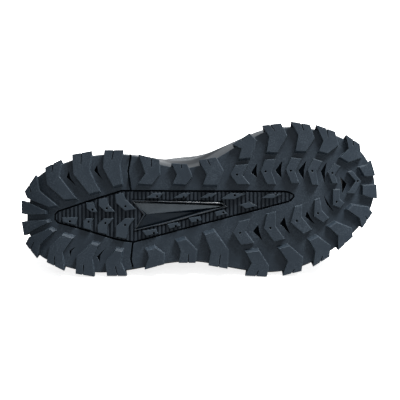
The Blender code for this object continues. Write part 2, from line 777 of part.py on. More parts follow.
def wall_at(i, level):
    """The wall is padded towards the collar."""
    station = STATION_ROUND[i]
    rising = max(0.0, min(1.0, (level - padding_start) / padding_rise))
    fading = max(0.0, min(1.0, (collar_end - station) / padding_fade + 1))
    return wall + (collar_wall - wall) * rising * fading


def shell_inside(level, gap):
    return shell(level, lambda i: -wall_at(i, level) - gap)


def make_upper():
    loops = [shell(level, lambda i: outer_offset(i, level)) for level in OUTER_LEVELS]
    loops += [shell_inside(level, 0.0) for level in INNER_LEVELS]
    points = [p for loop in loops for p in loop]
    item = solid("upper", points, bands(loops, True))
    return finish(item, (0.02, 0.022, 0.025), 0.9)


def make_insole():
    plan = [Vector((p.x, p.y)) for p in shell_inside(0, insole_clearance)]
    loops = [
        lifted(plan, lambda x: footbed_height(x) + clearance),
        lifted(plan, lambda x: footbed_height(x) + clearance + insole_edge),
        lifted(grown(plan, -insole_thickness), lambda x: footbed_height(x) + insole_thickness),
    ]
    return finish(stack("insole", loops), (0.05, 0.05, 0.055), 0.9)


def hermite(a, b, leave, arrive, t):
    rising = t * t * (3 - 2 * t)
    return (a + (b - a) * rising + leave * (t * (1 - t) ** 2) - arrive * (t * t * (1 - t)))


def side_point(station, outer, level, offset):
    """A point of the upper between two stations of one side."""
    k = max(j for j in range(len(STATIONS) - 1) if STATIONS[j] <= station)
    share = (station - STATIONS[k]) / (STATIONS[k + 1] - STATIONS[k])
    first, second = (k, k + 1) if outer else (ROUND - 1 - k, ROUND - 2 - k)
    return shell_point(first, level, offset).lerp(shell_point(second, level, offset), share)


def make_tongue():
    """It follows the upper's inside under the facings and crosses the throat in an arch."""
    rows = [k for k, station in enumerate(STATIONS) if tongue_top < station < tongue_front][::-1]
    sections = []
    for row, k in enumerate(rows):
        first = tongue_tuck + (tongue_tuck_top - tongue_tuck) * row / (len(rows) - 1)
        levels = (first, (first + tongue_edge) / 2, tongue_edge)
        outer, inner = [[shell_point(i, level, -wall_at(i, level) - tongue_clearance) for level in levels]
                        for i in (k, ROUND - 1 - k)]
        leave = (outer[2] - outer[1]).normalized()
        arrive = (inner[2] - inner[1]).normalized()
        span = (outer[2] - inner[2]).length
        bridge = [hermite(outer[2], inner[2], leave * span, -arrive * span, t) for t in CROSSING]
        sections.append(outer + bridge + inner[::-1])
    front = sections[0]
    shift = Vector((tongue_reach, 0, -tongue_drop))
    middle = front[4] + shift
    sections.insert(0, [middle + (p + shift - middle) * (1 - tongue_front_narrowing) for p in front])
    back = sections[-1]
    way = (back[4] - sections[-3][4]).normalized()
    for share in TONGUE_STEPS:
        rise = way * tongue_rise * share
        middle = back[4] + rise
        narrow = 1 - tongue_narrowing * share
        sections.append([middle + (p + rise - middle) * narrow for p in back])
    loops = []
    for k, section in enumerate(sections):
        ahead = sections[min(k + 1, len(sections) - 1)]
        behind = sections[max(k - 1, 0)]
        under = []
        for j, p in enumerate(section):
            side = section[min(j + 1, len(section) - 1)] - section[max(j - 1, 0)]
            normal = side.cross(ahead[j] - behind[j]).normalized()
            if normal.z < 0:
                normal = -normal
            edge = min(j, len(section) - 1 - j)
            share = (tongue_rim_share, tongue_shoulder_share, 1.0)[min(edge, 2)]
            under.append(p - normal * (tongue_thickness * share))
        loops.append(section + under[::-1])
    return finish(stack("tongue", loops), (0.03, 0.032, 0.035), 0.9)


def lace_bar(start_station, start_outer, end_station, slope):
    """A flat bar over the throat from one eyelet to another on the other side."""
    lift = eyestay_step + lace_lift
    ends = []
    for station, outer in ((start_station, start_outer), (end_station, not start_outer)):
        a = side_point(station, outer, eyelet_level, lift)
        b = side_point(station, outer, lace_turn_level, lift)
        ends.append((a, b))
    (a, b), (d, c) = ends
    leave = (b - a).normalized() * (c - b).length
    arrive = (d - c).normalized() * (c - b).length
    path = [a, b] + [hermite(b, c, leave, arrive, t) for t in CROSSING] + [c, d]
    loops = []
    for k, p in enumerate(path):
        way = (path[min(k + 1, len(path) - 1)] - path[max(k - 1, 0)]).normalized()
        flank = (slope - way * slope.dot(way)).normalized()
        top = flank.cross(way)
        across = flank * lace_width / 2
        thick = top * lace_thickness / 2
        loops.append([p - across - thick, p + across - thick, p + across + thick, p - across + thick])
    return stack("bar", loops)


def make_lace():
    front, back = [side_point(station, True, lace_turn_level, 0) for station in (EYELETS[-1], EYELETS[0])]
    slope = (front - back).normalized()
    item = lace_bar(EYELETS[-1], True, EYELETS[-1], slope)
    for high, low in zip(EYELETS, EYELETS[1:]):
        for outer in (True, False):
            combine(item, lace_bar(low, outer, high, slope), "UNION")
    item.name = "lace"
    item.data.name = "lace"
    return finish(item, (0.02, 0.02, 0.022), 0.8)


def resting_face(points, centre):
    """Outward normal of the hull's face that the shoe lies on: the most sideways stable one."""
    form = bmesh.new()
    for p in points:
        form.verts.new(p)
    bmesh.ops.convex_hull(form, input=form.verts)
    best = None
    for face in form.faces:
        face.normal_update()
        normal = face.normal
        corners = [v.co for v in face.verts]
        if (corners[0] - centre).dot(normal) < 0:
            normal = -normal
        foot = centre + normal * (corners[0] - centre).dot(normal)
        sides = []
        for a, b in zip(corners, corners[1:] + corners[:1]):
            sides.append((b - a).cross(foot - a).dot(normal))
        stable = all(s > 0 for s in sides) or all(s < 0 for s in sides)
        if stable and (best is None or normal.y > best.y):
            best = normal.copy()
    form.free()
    return best


def centre_of_volume(items):
    """Centre of the solids' volumes, from tetrahedra to the origin."""
    total = 0.0
    moment = Vector((0, 0, 0))
    for item in items:
        mesh = item.data
        mesh.calc_loop_triangles()
        for triangle in mesh.loop_triangles:
            a, b, c = [mesh.vertices[v].co for v in triangle.vertices]
            volume = a.dot(b.cross(c)) / 6
            total += volume
            moment += (a + b + c) / 4 * volume
    return moment / total


def lay_down(items):
    """Lay the shoe on its outer side, heel to toe along x and the sole towards -y."""
    points = [v.co.copy() for item in items for v in item.data.vertices]
    down = resting_face(points, centre_of_volume(items))
    forward = (Vector((1, 0, 0)) - down * down.x).normalized()
    back = (-down).cross(forward)
    turn = Matrix((forward, back, -down))
    turned = [turn @ p for p in points]
    low = Vector([min(p[k] for p in turned) for k in range(3)])
    high = Vector([max(p[k] for p in turned) for k in range(3)])
    middle = (low + high) / 2
    middle.z = low.z
    shoe = bpy.data.objects.new("shoe", None)
    bpy.context.collection.objects.link(shoe)
    shoe.matrix_world = Matrix.Translation(-middle) @ turn.to_4x4()
    for item in items:
        item.parent = shoe


def main():
    clear_scene()
    items = make_outsoles()
    items += [make_inlay(), make_shank(), make_midsole(), make_upper()]
    items += [make_insole(), make_tongue(), make_lace()]
    lay_down(items)


main()
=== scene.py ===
# %% [markdown]
# A trail running shoe lies on its outer side, so that its deep tread faces the camera.
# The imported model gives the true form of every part. This lesson dresses it: it cuts the fine
# tread, rounds the foam, weaves the cloth, threads the lace and sets up a plain studio.

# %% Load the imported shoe
import json
import math

import bpy
from mathutils import Matrix, Vector


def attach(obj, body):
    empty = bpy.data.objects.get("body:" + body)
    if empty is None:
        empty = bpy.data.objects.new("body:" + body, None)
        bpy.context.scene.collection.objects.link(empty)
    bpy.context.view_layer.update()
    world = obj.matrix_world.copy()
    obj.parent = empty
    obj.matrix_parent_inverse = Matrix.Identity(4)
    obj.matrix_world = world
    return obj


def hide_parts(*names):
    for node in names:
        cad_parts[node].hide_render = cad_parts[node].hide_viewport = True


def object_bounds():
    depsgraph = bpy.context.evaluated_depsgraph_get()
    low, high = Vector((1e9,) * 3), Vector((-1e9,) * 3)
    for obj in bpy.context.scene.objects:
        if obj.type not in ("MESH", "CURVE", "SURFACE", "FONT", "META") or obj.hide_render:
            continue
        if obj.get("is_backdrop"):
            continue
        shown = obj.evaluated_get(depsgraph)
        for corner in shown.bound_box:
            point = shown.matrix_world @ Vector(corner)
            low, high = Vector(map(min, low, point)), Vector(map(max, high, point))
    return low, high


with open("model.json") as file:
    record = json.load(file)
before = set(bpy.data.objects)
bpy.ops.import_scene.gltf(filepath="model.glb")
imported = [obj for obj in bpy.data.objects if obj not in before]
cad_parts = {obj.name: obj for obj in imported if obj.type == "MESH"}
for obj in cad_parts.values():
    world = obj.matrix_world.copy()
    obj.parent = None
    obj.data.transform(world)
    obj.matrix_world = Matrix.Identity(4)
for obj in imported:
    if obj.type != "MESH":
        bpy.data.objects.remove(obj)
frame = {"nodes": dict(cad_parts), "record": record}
nodes = frame["nodes"]
cad_box = [list(corner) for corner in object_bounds()]
print("nodes:", ", ".join(sorted(nodes)))

# %% [markdown]
# The shoe was designed standing and then laid down, so its own directions lean. They can be
# read back from the flat face of one heel lug: the face looks straight down out of the sole,
# and the shoe's length stays level with the floor. All pieces are modelled standing, where
# heights are easy to think about, and are laid down when they are finished.

# %% The way from the standing shoe to the lying one
shoe_length = 0.292
ball_width = 0.116
heel_lug_along = 18.6
heel_lug_across = -12.5
toe_spring = 0.020
toe_spring_start = 0.74
heel_lift = 0.009
heel_lift_end = 0.11
heel_rounding = 1.8
ground_angle = 16


def place(along, across, height=0.0):
    """A point of the standing shoe, from shares of its length and of its width at the ball."""
    return Vector((along * 0.01 * shoe_length, across * 0.01 * ball_width, height))


heel_face = next(m for m in frame["record"]["mounts"] if m["name"] == "heel_lug_face")
up = -Vector(heel_face["axis"]).normalized()
forward = Vector((0, 1, 0)).cross(up).normalized()
forward = forward if forward.x > 0 else -forward
outer_side = up.cross(forward)
turn = Matrix((forward, outer_side, up)).transposed()
heel_point = Vector(heel_face["pos_m"]) - turn @ place(heel_lug_along, heel_lug_across)
LYING = Matrix.Translation(heel_point) @ turn.to_4x4()
STANDING = LYING.inverted()
print("the sole leans", round(math.degrees(math.asin(-up.z)), 1), "degrees back")

# %% [markdown]
# Blender's operators work on whatever is selected. These few helpers keep that in order: one
# picks the pieces to work on, one takes a clean copy of a part, one applies a modifier, one
# joins pieces, and one lays a finished piece down and ties it to the shoe.

# %% Helpers for modelling


def only(*pieces):
    bpy.ops.object.select_all(action="DESELECT")
    for piece in pieces:
        piece.select_set(True)
    bpy.context.view_layer.objects.active = pieces[0]


def standing_copy(part, name):
    """A part's mesh as a new piece that stands, with its loose triangles merged."""
    piece = bpy.data.objects.new(name, nodes[part].data.copy())
    bpy.context.collection.objects.link(piece)
    piece.data.transform(STANDING)
    piece.data.materials.clear()
    only(piece)
    bpy.ops.object.mode_set(mode="EDIT")
    bpy.ops.mesh.select_all(action="SELECT")
    bpy.ops.mesh.remove_doubles(threshold=0.00001)
    bpy.ops.object.mode_set(mode="OBJECT")
    return piece


def make_quads(piece, degrees):
    """Joins the triangles of a piece in pairs, where they lie nearly flat to each other."""
    angle = math.radians(degrees)
    only(piece)
    bpy.ops.object.mode_set(mode="EDIT")
    bpy.ops.mesh.select_all(action="SELECT")
    bpy.ops.mesh.tris_convert_to_quads(face_threshold=angle, shape_threshold=angle)
    bpy.ops.object.mode_set(mode="OBJECT")


def applied(piece, kind, **settings):
    only(piece)
    step = piece.modifiers.new(kind.title(), kind)
    for name, value in settings.items():
        setattr(step, name, value)
    bpy.ops.object.modifier_apply(modifier=step.name)


def joined(pieces, name):
    only(*pieces)
    if len(pieces) > 1:
        bpy.ops.object.join()
    whole = bpy.context.view_layer.objects.active
    bpy.ops.object.transform_apply(location=True, rotation=True, scale=True)
    whole.name = name
    return whole


def cut(piece, tools, inside=None):
    """Cuts a piece with many tools at once, gives the cut faces a material, and drops the tools."""
    tool = joined(tools, "tool")
    tool.data.materials.clear()
    if inside:
        tool.data.materials.append(inside)
    applied(piece, "BOOLEAN", operation="DIFFERENCE", solver="EXACT", object=tool,
            material_mode="TRANSFER")
    bpy.data.objects.remove(tool, do_unlink=True)


def ground_slope(x):
    """How steeply the sole climbs at a point of its length: flat, but for the toe and the heel."""
    share = x / shoe_length
    toe = max(0.0, (share - toe_spring_start) / (1 - toe_spring_start))
    heel = max(0.0, (heel_lift_end - share) / heel_lift_end)
    rising = 2 * toe_spring * toe / (shoe_length * (1 - toe_spring_start))
    falling = heel_rounding * heel_lift * heel ** (heel_rounding - 1) / (shoe_length * heel_lift_end)
    return rising - falling


def shade_like_moulding(piece):
    """Faces that follow the ground share its smooth curve, and all others stay flat facets."""
    mesh = piece.data
    mesh.polygons.foreach_set("use_smooth", [True] * len(mesh.polygons))
    normals = [None] * len(mesh.loops)
    for face in mesh.polygons:
        slope = ground_slope(face.center.x)
        ground = Vector((slope, 0, -1)).normalized()
        follows = abs(face.normal.dot(ground)) > math.cos(math.radians(ground_angle))
        side = math.copysign(1, face.normal.dot(ground))
        for loop in face.loop_indices:
            x = mesh.vertices[mesh.loops[loop].vertex_index].co.x
            smoothed = Vector((ground_slope(x), 0, -1)).normalized() * side
            normals[loop] = smoothed if follows else face.normal.copy()
    mesh.normals_split_custom_set(normals)


def smooth(piece, degrees):
    only(piece)
    bpy.ops.object.shade_smooth_by_angle(angle=math.radians(degrees))


def crease_sharp(piece, degrees, amount):
    """Keeps the edges that turn sharply from being rounded away by subdivision."""
    only(piece)
    bpy.ops.object.mode_set(mode="EDIT")
    bpy.ops.mesh.select_all(action="DESELECT")
    bpy.ops.mesh.select_mode(type="EDGE")
    bpy.ops.mesh.edges_select_sharp(sharpness=math.radians(degrees))
    bpy.ops.transform.edge_crease(value=amount)
    bpy.ops.mesh.select_mode(type="VERT")
    bpy.ops.object.mode_set(mode="OBJECT")


def lay_down(piece, material, slot, *parts):
    """Lays a finished piece on the floor, gives it its finish where it has none, and ties it on."""
    piece.data.transform(LYING)
    if not piece.data.materials:
        piece.data.materials.append(material)
    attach(piece, "root")
    if parts:
        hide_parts(*parts)
    print(piece.name, len(piece.data.polygons), "faces")


# %% [markdown]
# A material is a small graph. These helpers add a node, wire its inputs and do sums in one line
# each. Every pattern reads the place on the shoe, turned back so that it stands, because then it
# can follow the length, the width and the height of the shoe.

# %% Helpers for materials


def feed(tree, node, inputs):
    """Wires each named input of a node to a socket, or gives it a plain value."""
    for name, value in inputs.items():
        if isinstance(value, bpy.types.NodeSocket):
            tree.links.new(value, node.inputs[name])
        else:
            node.inputs[name].default_value = value


def add(tree, kind, inputs=None, **settings):
    made = tree.nodes.new(kind)
    for name, value in settings.items():
        setattr(made, name, value)
    feed(tree, made, inputs or {})
    return made


def ranged(tree, value, low=0.0, high=1.0, to_low=0.0, to_high=1.0):
    """A value moved from one range to another, and kept inside that one."""
    return add(tree, "ShaderNodeMapRange", {
        "Value": value,
        "From Min": low,
        "From Max": high,
        "To Min": to_low,
        "To Max": to_high,
    }).outputs[0]


def maths(tree, operation, first, second=0.0):
    """What one sum makes of two sockets or numbers."""
    return add(tree, "ShaderNodeMath", {0: first, 1: second}, operation=operation).outputs[0]


def group(name, inputs, outputs):
    """A new node group with named sockets, the values that come in, and its output node."""
    tree = bpy.data.node_groups.new(name, "ShaderNodeTree")
    for label, kind, value in inputs:
        socket = tree.interface.new_socket(label, in_out="INPUT", socket_type=kind)
        if value is not None:
            socket.default_value = value
    for label, kind in outputs:
        tree.interface.new_socket(label, in_out="OUTPUT", socket_type=kind)
    return tree, tree.nodes.new("NodeGroupInput").outputs, tree.nodes.new("NodeGroupOutput")


def place_on_shoe(tree):
    """The place on the standing shoe, in metres, for a pattern to follow."""
    coordinates = add(tree, "ShaderNodeTexCoord")
    return add(tree, "ShaderNodeMapping", {
        "Vector": coordinates.outputs["Object"],
        "Location": heel_point,
        "Rotation": turn.to_euler(),
    }, vector_type="TEXTURE").outputs["Vector"]


def new_material(name):
    material = bpy.data.materials.new(name)
    material.use_nodes = True
    shader = material.node_tree.nodes["Principled BSDF"]
    return material, material.node_tree, shader


# %% [markdown]
# Moulded rubber is never quite even. Its surface has a fine grain from the mould, cloudy
# patches that shine a little more, and dust that catches in it. The edges are painted lighter
# towards the same colour as the dust, as rubbed wear and as a painted highlight. One group holds
# all of that, so that the tread, the inlay and the midsole can share it with their own amounts.

# %% The moulded grain group
edge_radius = 0.0006
grain, grain_in, grain_out = group("moulded grain", [
    ("Place", "NodeSocketVector", None),
    ("Base Normal", "NodeSocketVector", None),
    ("Edge", "NodeSocketFloat", 0.0),
    ("Colour", "NodeSocketColor", (0.03, 0.04, 0.05, 1)),
    ("Dust And Highlight", "NodeSocketColor", (0.08, 0.09, 0.1, 1)),
    ("Dust Amount", "NodeSocketFloat", 0.3),
    ("Grain Size", "NodeSocketFloat", 0.0006),
    ("Grain Depth", "NodeSocketFloat", 0.00003),
    ("Roughness", "NodeSocketFloat", 0.6),
], [("Colour", "NodeSocketColor"), ("Roughness", "NodeSocketFloat"), ("Normal", "NodeSocketVector")])

fine = add(grain, "ShaderNodeTexNoise", {
    "Vector": grain_in["Place"],
    "Scale": maths(grain, "DIVIDE", 1.0, grain_in["Grain Size"]),
    "Detail": 3.0,
})
cloudy = add(grain, "ShaderNodeTexNoise", {
    "Vector": grain_in["Place"],
    "Scale": 55.0,
    "Detail": 4.0,
    "Roughness": 0.6,
})
dusty = ranged(grain, cloudy.outputs["Fac"], 0.35, 0.75)
spots = ranged(grain, fine.outputs["Fac"], 0.42, 0.66)
speckled = maths(grain, "MULTIPLY", dusty, spots)
dust_share = maths(grain, "MULTIPLY", speckled, grain_in["Dust Amount"])
# Dust specks and the edge mask both lighten the colour: real dust, edge wear and a painted highlight on the
# edges.
dust_and_highlight_mask = maths(grain, "ADD", dust_share, grain_in["Edge"])
dust_and_highlight_mask.node.use_clamp = True
tinted = add(grain, "ShaderNodeMix", {
    "Factor": dust_and_highlight_mask,
    "A": grain_in["Colour"],
    "B": grain_in["Dust And Highlight"],
}, data_type="RGBA")
uneven = ranged(grain, cloudy.outputs["Fac"], to_low=-0.12, to_high=0.12)
rough = maths(grain, "ADD", uneven, grain_in["Roughness"])
grain_bump = add(grain, "ShaderNodeBump", {
    "Height": maths(grain, "MULTIPLY", fine.outputs["Fac"], grain_in["Grain Depth"]),
    "Normal": grain_in["Base Normal"],
    "Distance": 1.0,
    "Strength": 1.0,
})
feed(grain, grain_out, {
    "Colour": tinted.outputs["Result"],
    "Roughness": rough,
    "Normal": grain_bump.outputs["Normal"],
})
print("grain group:", len(grain.nodes), "nodes")


def moulded(name, colour, dust_and_highlight, dust_amount, roughness, size=0.0010, depth=0.00005, edge=0.4, shine=0.28):
    """A rubber or foam material with the moulded grain, softly rounded edges, and edges painted lighter as
    wear and painted highlight.
    """
    material, tree, shader = new_material(name)
    rounded = add(tree, "ShaderNodeBevel", {"Radius": edge_radius}, samples=6)
    surface = add(tree, "ShaderNodeNewGeometry")
    # Where the rounded normal turns from the true one lies an edge, which is painted lighter: edge wear and
    # painted highlight.
    alike = add(tree, "ShaderNodeVectorMath", {
        0: rounded.outputs["Normal"],
        1: surface.outputs["Normal"],
    }, operation="DOT_PRODUCT")
    skin = add(tree, "ShaderNodeGroup", {
        "Place": place_on_shoe(tree),
        "Base Normal": rounded.outputs["Normal"],
        "Edge": ranged(tree, alike.outputs["Value"], 0.995, 0.90, to_high=edge),
        "Colour": (*colour, 1),
        "Dust And Highlight": (*dust_and_highlight, 1),
        "Dust Amount": dust_amount,
        "Grain Size": size,
        "Grain Depth": depth,
        "Roughness": roughness,
    }, node_tree=grain)
    feed(tree, shader, {
        "Base Color": skin.outputs["Colour"],
        "Roughness": skin.outputs["Roughness"],
        "Normal": skin.outputs["Normal"],
        "Specular IOR Level": shine,
    })
    return material


tread_rubber = moulded("tread rubber", (0.0115, 0.0200, 0.030), (0.08, 0.105, 0.13), 0.40, 0.60, edge=0.55)
inlay_rubber = moulded("inlay rubber", (0.017, 0.027, 0.038), (0.06, 0.075, 0.09), 0.25, 0.56)
# The inlay's floor and its grooves are painted darker than its lugs: painted shade.
inlay_floor_shade_rubber = moulded("inlay floor shade rubber", (0.011, 0.018, 0.026), (0.05, 0.06, 0.075), 0.25, 0.6)
groove_shade_rubber = moulded("groove shade rubber", (0.009, 0.014, 0.020), (0.02, 0.026, 0.034), 0.25, 0.7, shine=0.1)
# Near-black rubber for the walls of cuts, holes and gaps, and for cords laid in them: painted shade.
painted_shade_rubber = moulded("painted shade rubber", (0.001, 0.002, 0.003), (0.003, 0.004, 0.006), 0.3, 0.8, shine=0.02)
midsole_foam = moulded("midsole foam", (0.083, 0.091, 0.099), (0.15, 0.16, 0.17), 0.4, 0.45, shine=0.42)

# %% [markdown]
# The side of the midsole is coloured with fine dark lines, one above the other. They follow the
# height on the shoe, so a sine of the height draws them all.

# %% The dark lines of the midsole
side_line_pitch = 0.0042
foam_tree = midsole_foam.node_tree
foam_shader = foam_tree.nodes["Principled BSDF"]
foam_colour = foam_shader.inputs["Base Color"].links[0].from_socket
foam_place = add(foam_tree, "ShaderNodeSeparateXYZ", {"Vector": place_on_shoe(foam_tree)})
turns = maths(foam_tree, "MULTIPLY", foam_place.outputs["Z"], 2 * math.pi / side_line_pitch)
lined = add(foam_tree, "ShaderNodeMix", {
    "Factor": ranged(foam_tree, maths(foam_tree, "SINE", turns), 0.35, 0.85),
    "A": foam_colour,
    "B": (0.030, 0.034, 0.039, 1),
}, data_type="RGBA")
foam_tree.links.new(lined.outputs["Result"], foam_shader.inputs["Base Color"])
print("a dark line every", round(1000 * side_line_pitch, 1), "mm")

# %% [markdown]
# The floor and the lights come early, so that each piece can be looked at as soon as it is
# made. The photograph has a white ground and its light comes from above the shoe. The floor
# looks almost white, but it gives back less light than it shows, which keeps the undersides
# of the lugs dark.

# %% The floor
floor_size = 8.0
floor_shown = 0.82
bpy.ops.mesh.primitive_plane_add(size=floor_size)
floor = bpy.context.active_object
floor.name = "studio_floor"
floor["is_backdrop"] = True
pale, pale_tree, pale_shader = new_material("pale floor")
seen = add(pale_tree, "ShaderNodeLightPath")
shade = add(pale_tree, "ShaderNodeMix", {
    "Factor": seen.outputs["Is Camera Ray"],
    "A": (0.30, 0.30, 0.30, 1),
    "B": (0.92, 0.92, 0.92, 1),
}, data_type="RGBA")
feed(pale_tree, pale_shader, {
    "Base Color": shade.outputs["Result"],
    "Roughness": 0.9,
    "Specular IOR Level": 0.0,
    "Emission Color": (1, 1, 1, 1),
    "Emission Strength": maths(pale_tree, "MULTIPLY", seen.outputs["Is Camera Ray"], floor_shown),
})
floor.data.materials.append(pale)

# %% The camera, square to the sole
camera_distance = 1.6
photo_width = 0.3254
target = LYING @ place(50, 0)
bpy.ops.object.camera_add(location=target - up * camera_distance)
camera = bpy.context.active_object
camera.rotation_euler = Matrix((forward, -outer_side, -up)).transposed().to_euler()
camera.data.sensor_width = 36
camera.data.lens = camera.data.sensor_width * camera_distance / photo_width
bpy.context.scene.camera = camera
print("camera height", round(camera.location.z, 3))

# %% The lights


def soft_light(name, spot, size, power, aim):
    bpy.ops.object.light_add(type="AREA", location=spot)
    light = bpy.context.active_object
    light.name = name
    light.data.shape = "RECTANGLE"
    light.data.size, light.data.size_y = size
    light.data.energy = power
    light.rotation_euler = (Vector(spot) - Vector(aim)).to_track_quat("Z", "Y").to_euler()


soft_light("top light", (0.87, -0.145, 1.80), (1.0, 0.58), 94, (0, 0, 0.05))
soft_light("front light", (0.30, -1.75, 0.88), (1.0, 0.35), 4.3, (0, 0, 0.05))
soft_light("back light", (0.15, 1.95, 0.62), (1.8, 0.35), 6, (0, 0, 0.10))
world = bpy.data.worlds.new("studio")
world.use_nodes = True
feed(world.node_tree, world.node_tree.nodes["Background"], {
    "Color": (0.95, 0.97, 1.0, 1),
    "Strength": 0.34,
})
bpy.context.scene.world = world
bpy.context.scene.view_settings.view_transform = "Standard"

# %% [markdown]
# The heel and the forefoot tread are one rubber each, parted by a thin groove. Their lugs are
# in the imported model already. What is missing is fine: a knife-thin cut in the rim of most
# lugs, called a sipe, a round vent hole in each inner lug, and bent slits in the floor between
# the lugs. All of them are cut, and the walls of each cut get a near-black rubber as painted
# shade.
# Each place is a pair: percent of the shoe's length from the heel, and percent of the ball's
# width from the middle, with the inner side below zero. A sipe runs from the rim inwards, and
# a slit has two ends with an elbow between them.

# %% Places of the fine tread
SIPES = {
    "outsole_heel": [
        ((2.0, -11.0), (2.7, -5.7)), ((8.9, -23.9), (8.7, -19.5)),
        ((16.9, -31.1), (16.8, -25.1)), ((25.8, -33.3), (25.4, -28.2)),
        ((26.9, 51.9), (26.4, 46.5)), ((17.3, 51.9), (17.6, 45.2)),
        ((9.4, 45.7), (9.5, 39.4)), ((2.6, 34.5), (3.6, 29.6)),
    ],
    "outsole_forefoot": [
        ((36.4, -27.5), (36.5, -23.1)), ((44.7, -25.1), (44.9, -22.2)),
        ((52.2, -27.7), (52.9, -24.1)), ((61.5, -43.6), (61.8, -41.6)),
        ((69.9, -51.6), (70.8, -48.5)), ((78.4, -52.3), (78.9, -48.7)),
        ((85.5, -49.3), (85.8, -44.4)), ((93.1, -41.6), (93.0, -38.4)),
        ((97.0, 14.0), (96.6, 11.5)), ((90.9, 31.4), (90.6, 30.0)),
        ((83.9, 41.6), (84.2, 39.4)), ((75.8, 50.6), (76.4, 48.6)),
        ((65.7, 52.8), (66.3, 49.4)), ((55.2, 46.5), (55.7, 38.5)),
        ((46.7, 43.4), (46.8, 38.1)), ((38.3, 47.9), (38.2, 46.1)),
    ],
}
VENTS = {
    "outsole_forefoot": [
        (60.3, -17.8), (68.3, -20.0), (75.3, -20.5), (81.3, -20.4), (87.0, -19.0), (94.3, -13.4),
        (61.2, 23.1), (69.6, 19.6), (77.0, 14.6), (82.9, 9.3), (88.2, 1.3),
    ],
    "outsole_center": [
        (20.0, 6.7), (24.0, 5.9), (29.2, 4.4), (13.7, 15.0), (18.9, 15.3), (23.6, 16.2),
        (29.1, 17.6), (38.0, -2.5), (45.4, -2.1), (52.6, -1.7), (59.7, -3.3), (71.1, -3.8),
        (37.1, 23.2), (43.2, 18.3), (49.3, 14.1), (56.5, 8.8), (64.5, 5.1),
    ],
}
SLITS = {
    "outsole_heel": [
        ((13.4, -20.4), (12.7, -16.1), (15.7, -9.2)), ((21.3, -24.8), (20.4, -20.8), (23.2, -13.0)),
        ((13.7, 39.9), (13.5, 35.8), (15.3, 32.5)), ((22.0, 43.5), (21.2, 39.9), (23.6, 33.6)),
    ],
    "outsole_forefoot": [
        ((66.0, -26.0), (64.3, -19.2), (66.0, -15.7)), ((73.0, -27.7), (71.0, -20.6), (72.8, -15.3)),
        ((79.7, -27.7), (77.4, -20.6), (79.0, -14.3)), ((85.5, -26.8), (83.8, -20.2), (84.9, -11.7)),
        ((89.1, -16.6), (91.2, -11.7), (89.9, -4.5)), ((66.3, 17.3), (64.8, 22.0), (67.5, 28.6)),
        ((73.6, 11.7), (72.3, 16.8), (75.3, 24.2)), ((79.9, 7.7), (79.4, 11.8), (82.4, 17.8)),
        ((84.6, -3.4), (85.4, 2.8), (87.9, 9.5)),
    ],
}
sipe_width = 0.0007
sipe_depth = 0.0032
sipe_reach = 0.004
vent_radius = 0.0009
vent_depth = 0.0015
slit_fill = {"outsole_heel": 0.6, "outsole_forefoot": 0.85}
slit_depth = 0.0018
below_shoe = -0.05

# %% Tools for the fine tread


def seen_from_below(piece, spot):
    """The point of a standing piece that shows below a place of the plan."""
    hit, found, _, _ = piece.ray_cast(Vector((spot.x, spot.y, below_shoe)), Vector((0, 0, 1)))
    return found if hit else Vector((spot.x, spot.y, 0))


def sipe_tool(piece, rim, end):
    rim, end = place(*rim), place(*end)
    way = (end - rim).normalized()
    length = (end - rim).length + sipe_reach
    middle = end - way * length / 2
    middle.z = seen_from_below(piece, end).z
    bpy.ops.mesh.primitive_cube_add(
        size=1,
        location=middle,
        rotation=(0, 0, math.atan2(way.y, way.x)),
        scale=(length, sipe_width, 2 * sipe_depth),
    )
    return bpy.context.active_object


def vent_tool(piece, spot):
    middle = seen_from_below(piece, place(*spot))
    bpy.ops.mesh.primitive_cylinder_add(
        vertices=12, radius=vent_radius, depth=2 * vent_depth, location=middle)
    return bpy.context.active_object


def slit_tool(piece, fill, first, elbow, last):
    """A bent sliver, widest at its elbow, made by moving a plane's corners and extruding it."""
    first, elbow, last = place(*first), place(*elbow), place(*last)
    inwards = ((first + last) / 2 - elbow) * fill
    height = seen_from_below(piece, elbow).z - slit_depth
    bpy.ops.mesh.primitive_plane_add(size=1)
    tool = bpy.context.active_object
    corners = (first, elbow, elbow + inwards, last)
    for vertex, corner in zip(tool.data.vertices, corners):
        vertex.co = (corner.x, corner.y, height)
    bpy.ops.object.mode_set(mode="EDIT")
    bpy.ops.mesh.select_all(action="SELECT")
    bpy.ops.mesh.extrude_region_move(TRANSFORM_OT_translate={"value": (0, 0, 2 * slit_depth)})
    bpy.ops.mesh.select_all(action="SELECT")
    bpy.ops.mesh.normals_make_consistent(inside=False)
    bpy.ops.object.mode_set(mode="OBJECT")
    return tool


def round_line(name, spots, radius, closed):
    """A round cord through some spots: a bent line with a round bevel, made a mesh."""
    curve = bpy.data.curves.new(name, "CURVE")
    curve.dimensions = "3D"
    curve.bevel_depth = radius
    curve.bevel_resolution = 2
    curve.use_fill_caps = True
    line = curve.splines.new("POLY")
    line.points.add(len(spots) - 1)
    line.use_cyclic_u = closed
    for point, spot in zip(line.points, spots):
        point.co = (*spot, 1)
    cord = bpy.data.objects.new(name, curve)
    bpy.context.collection.objects.link(cord)
    only(cord)
    bpy.ops.object.convert(target="MESH")
    return bpy.context.view_layer.objects.active


# %% [markdown]
# A channel runs round the inlay, and one parts the heel's rubber from the forefoot's. In the
# solids both are narrow gaps over the foam. A round cutter run along each gap opens it to its
# real width, and its walls get a near-black rubber as painted shade. A near-black cord laid
# deeper in it closes its floor with painted shade. The inlay's edge is a table: the place along
# the shoe, then its inner and its outer side.

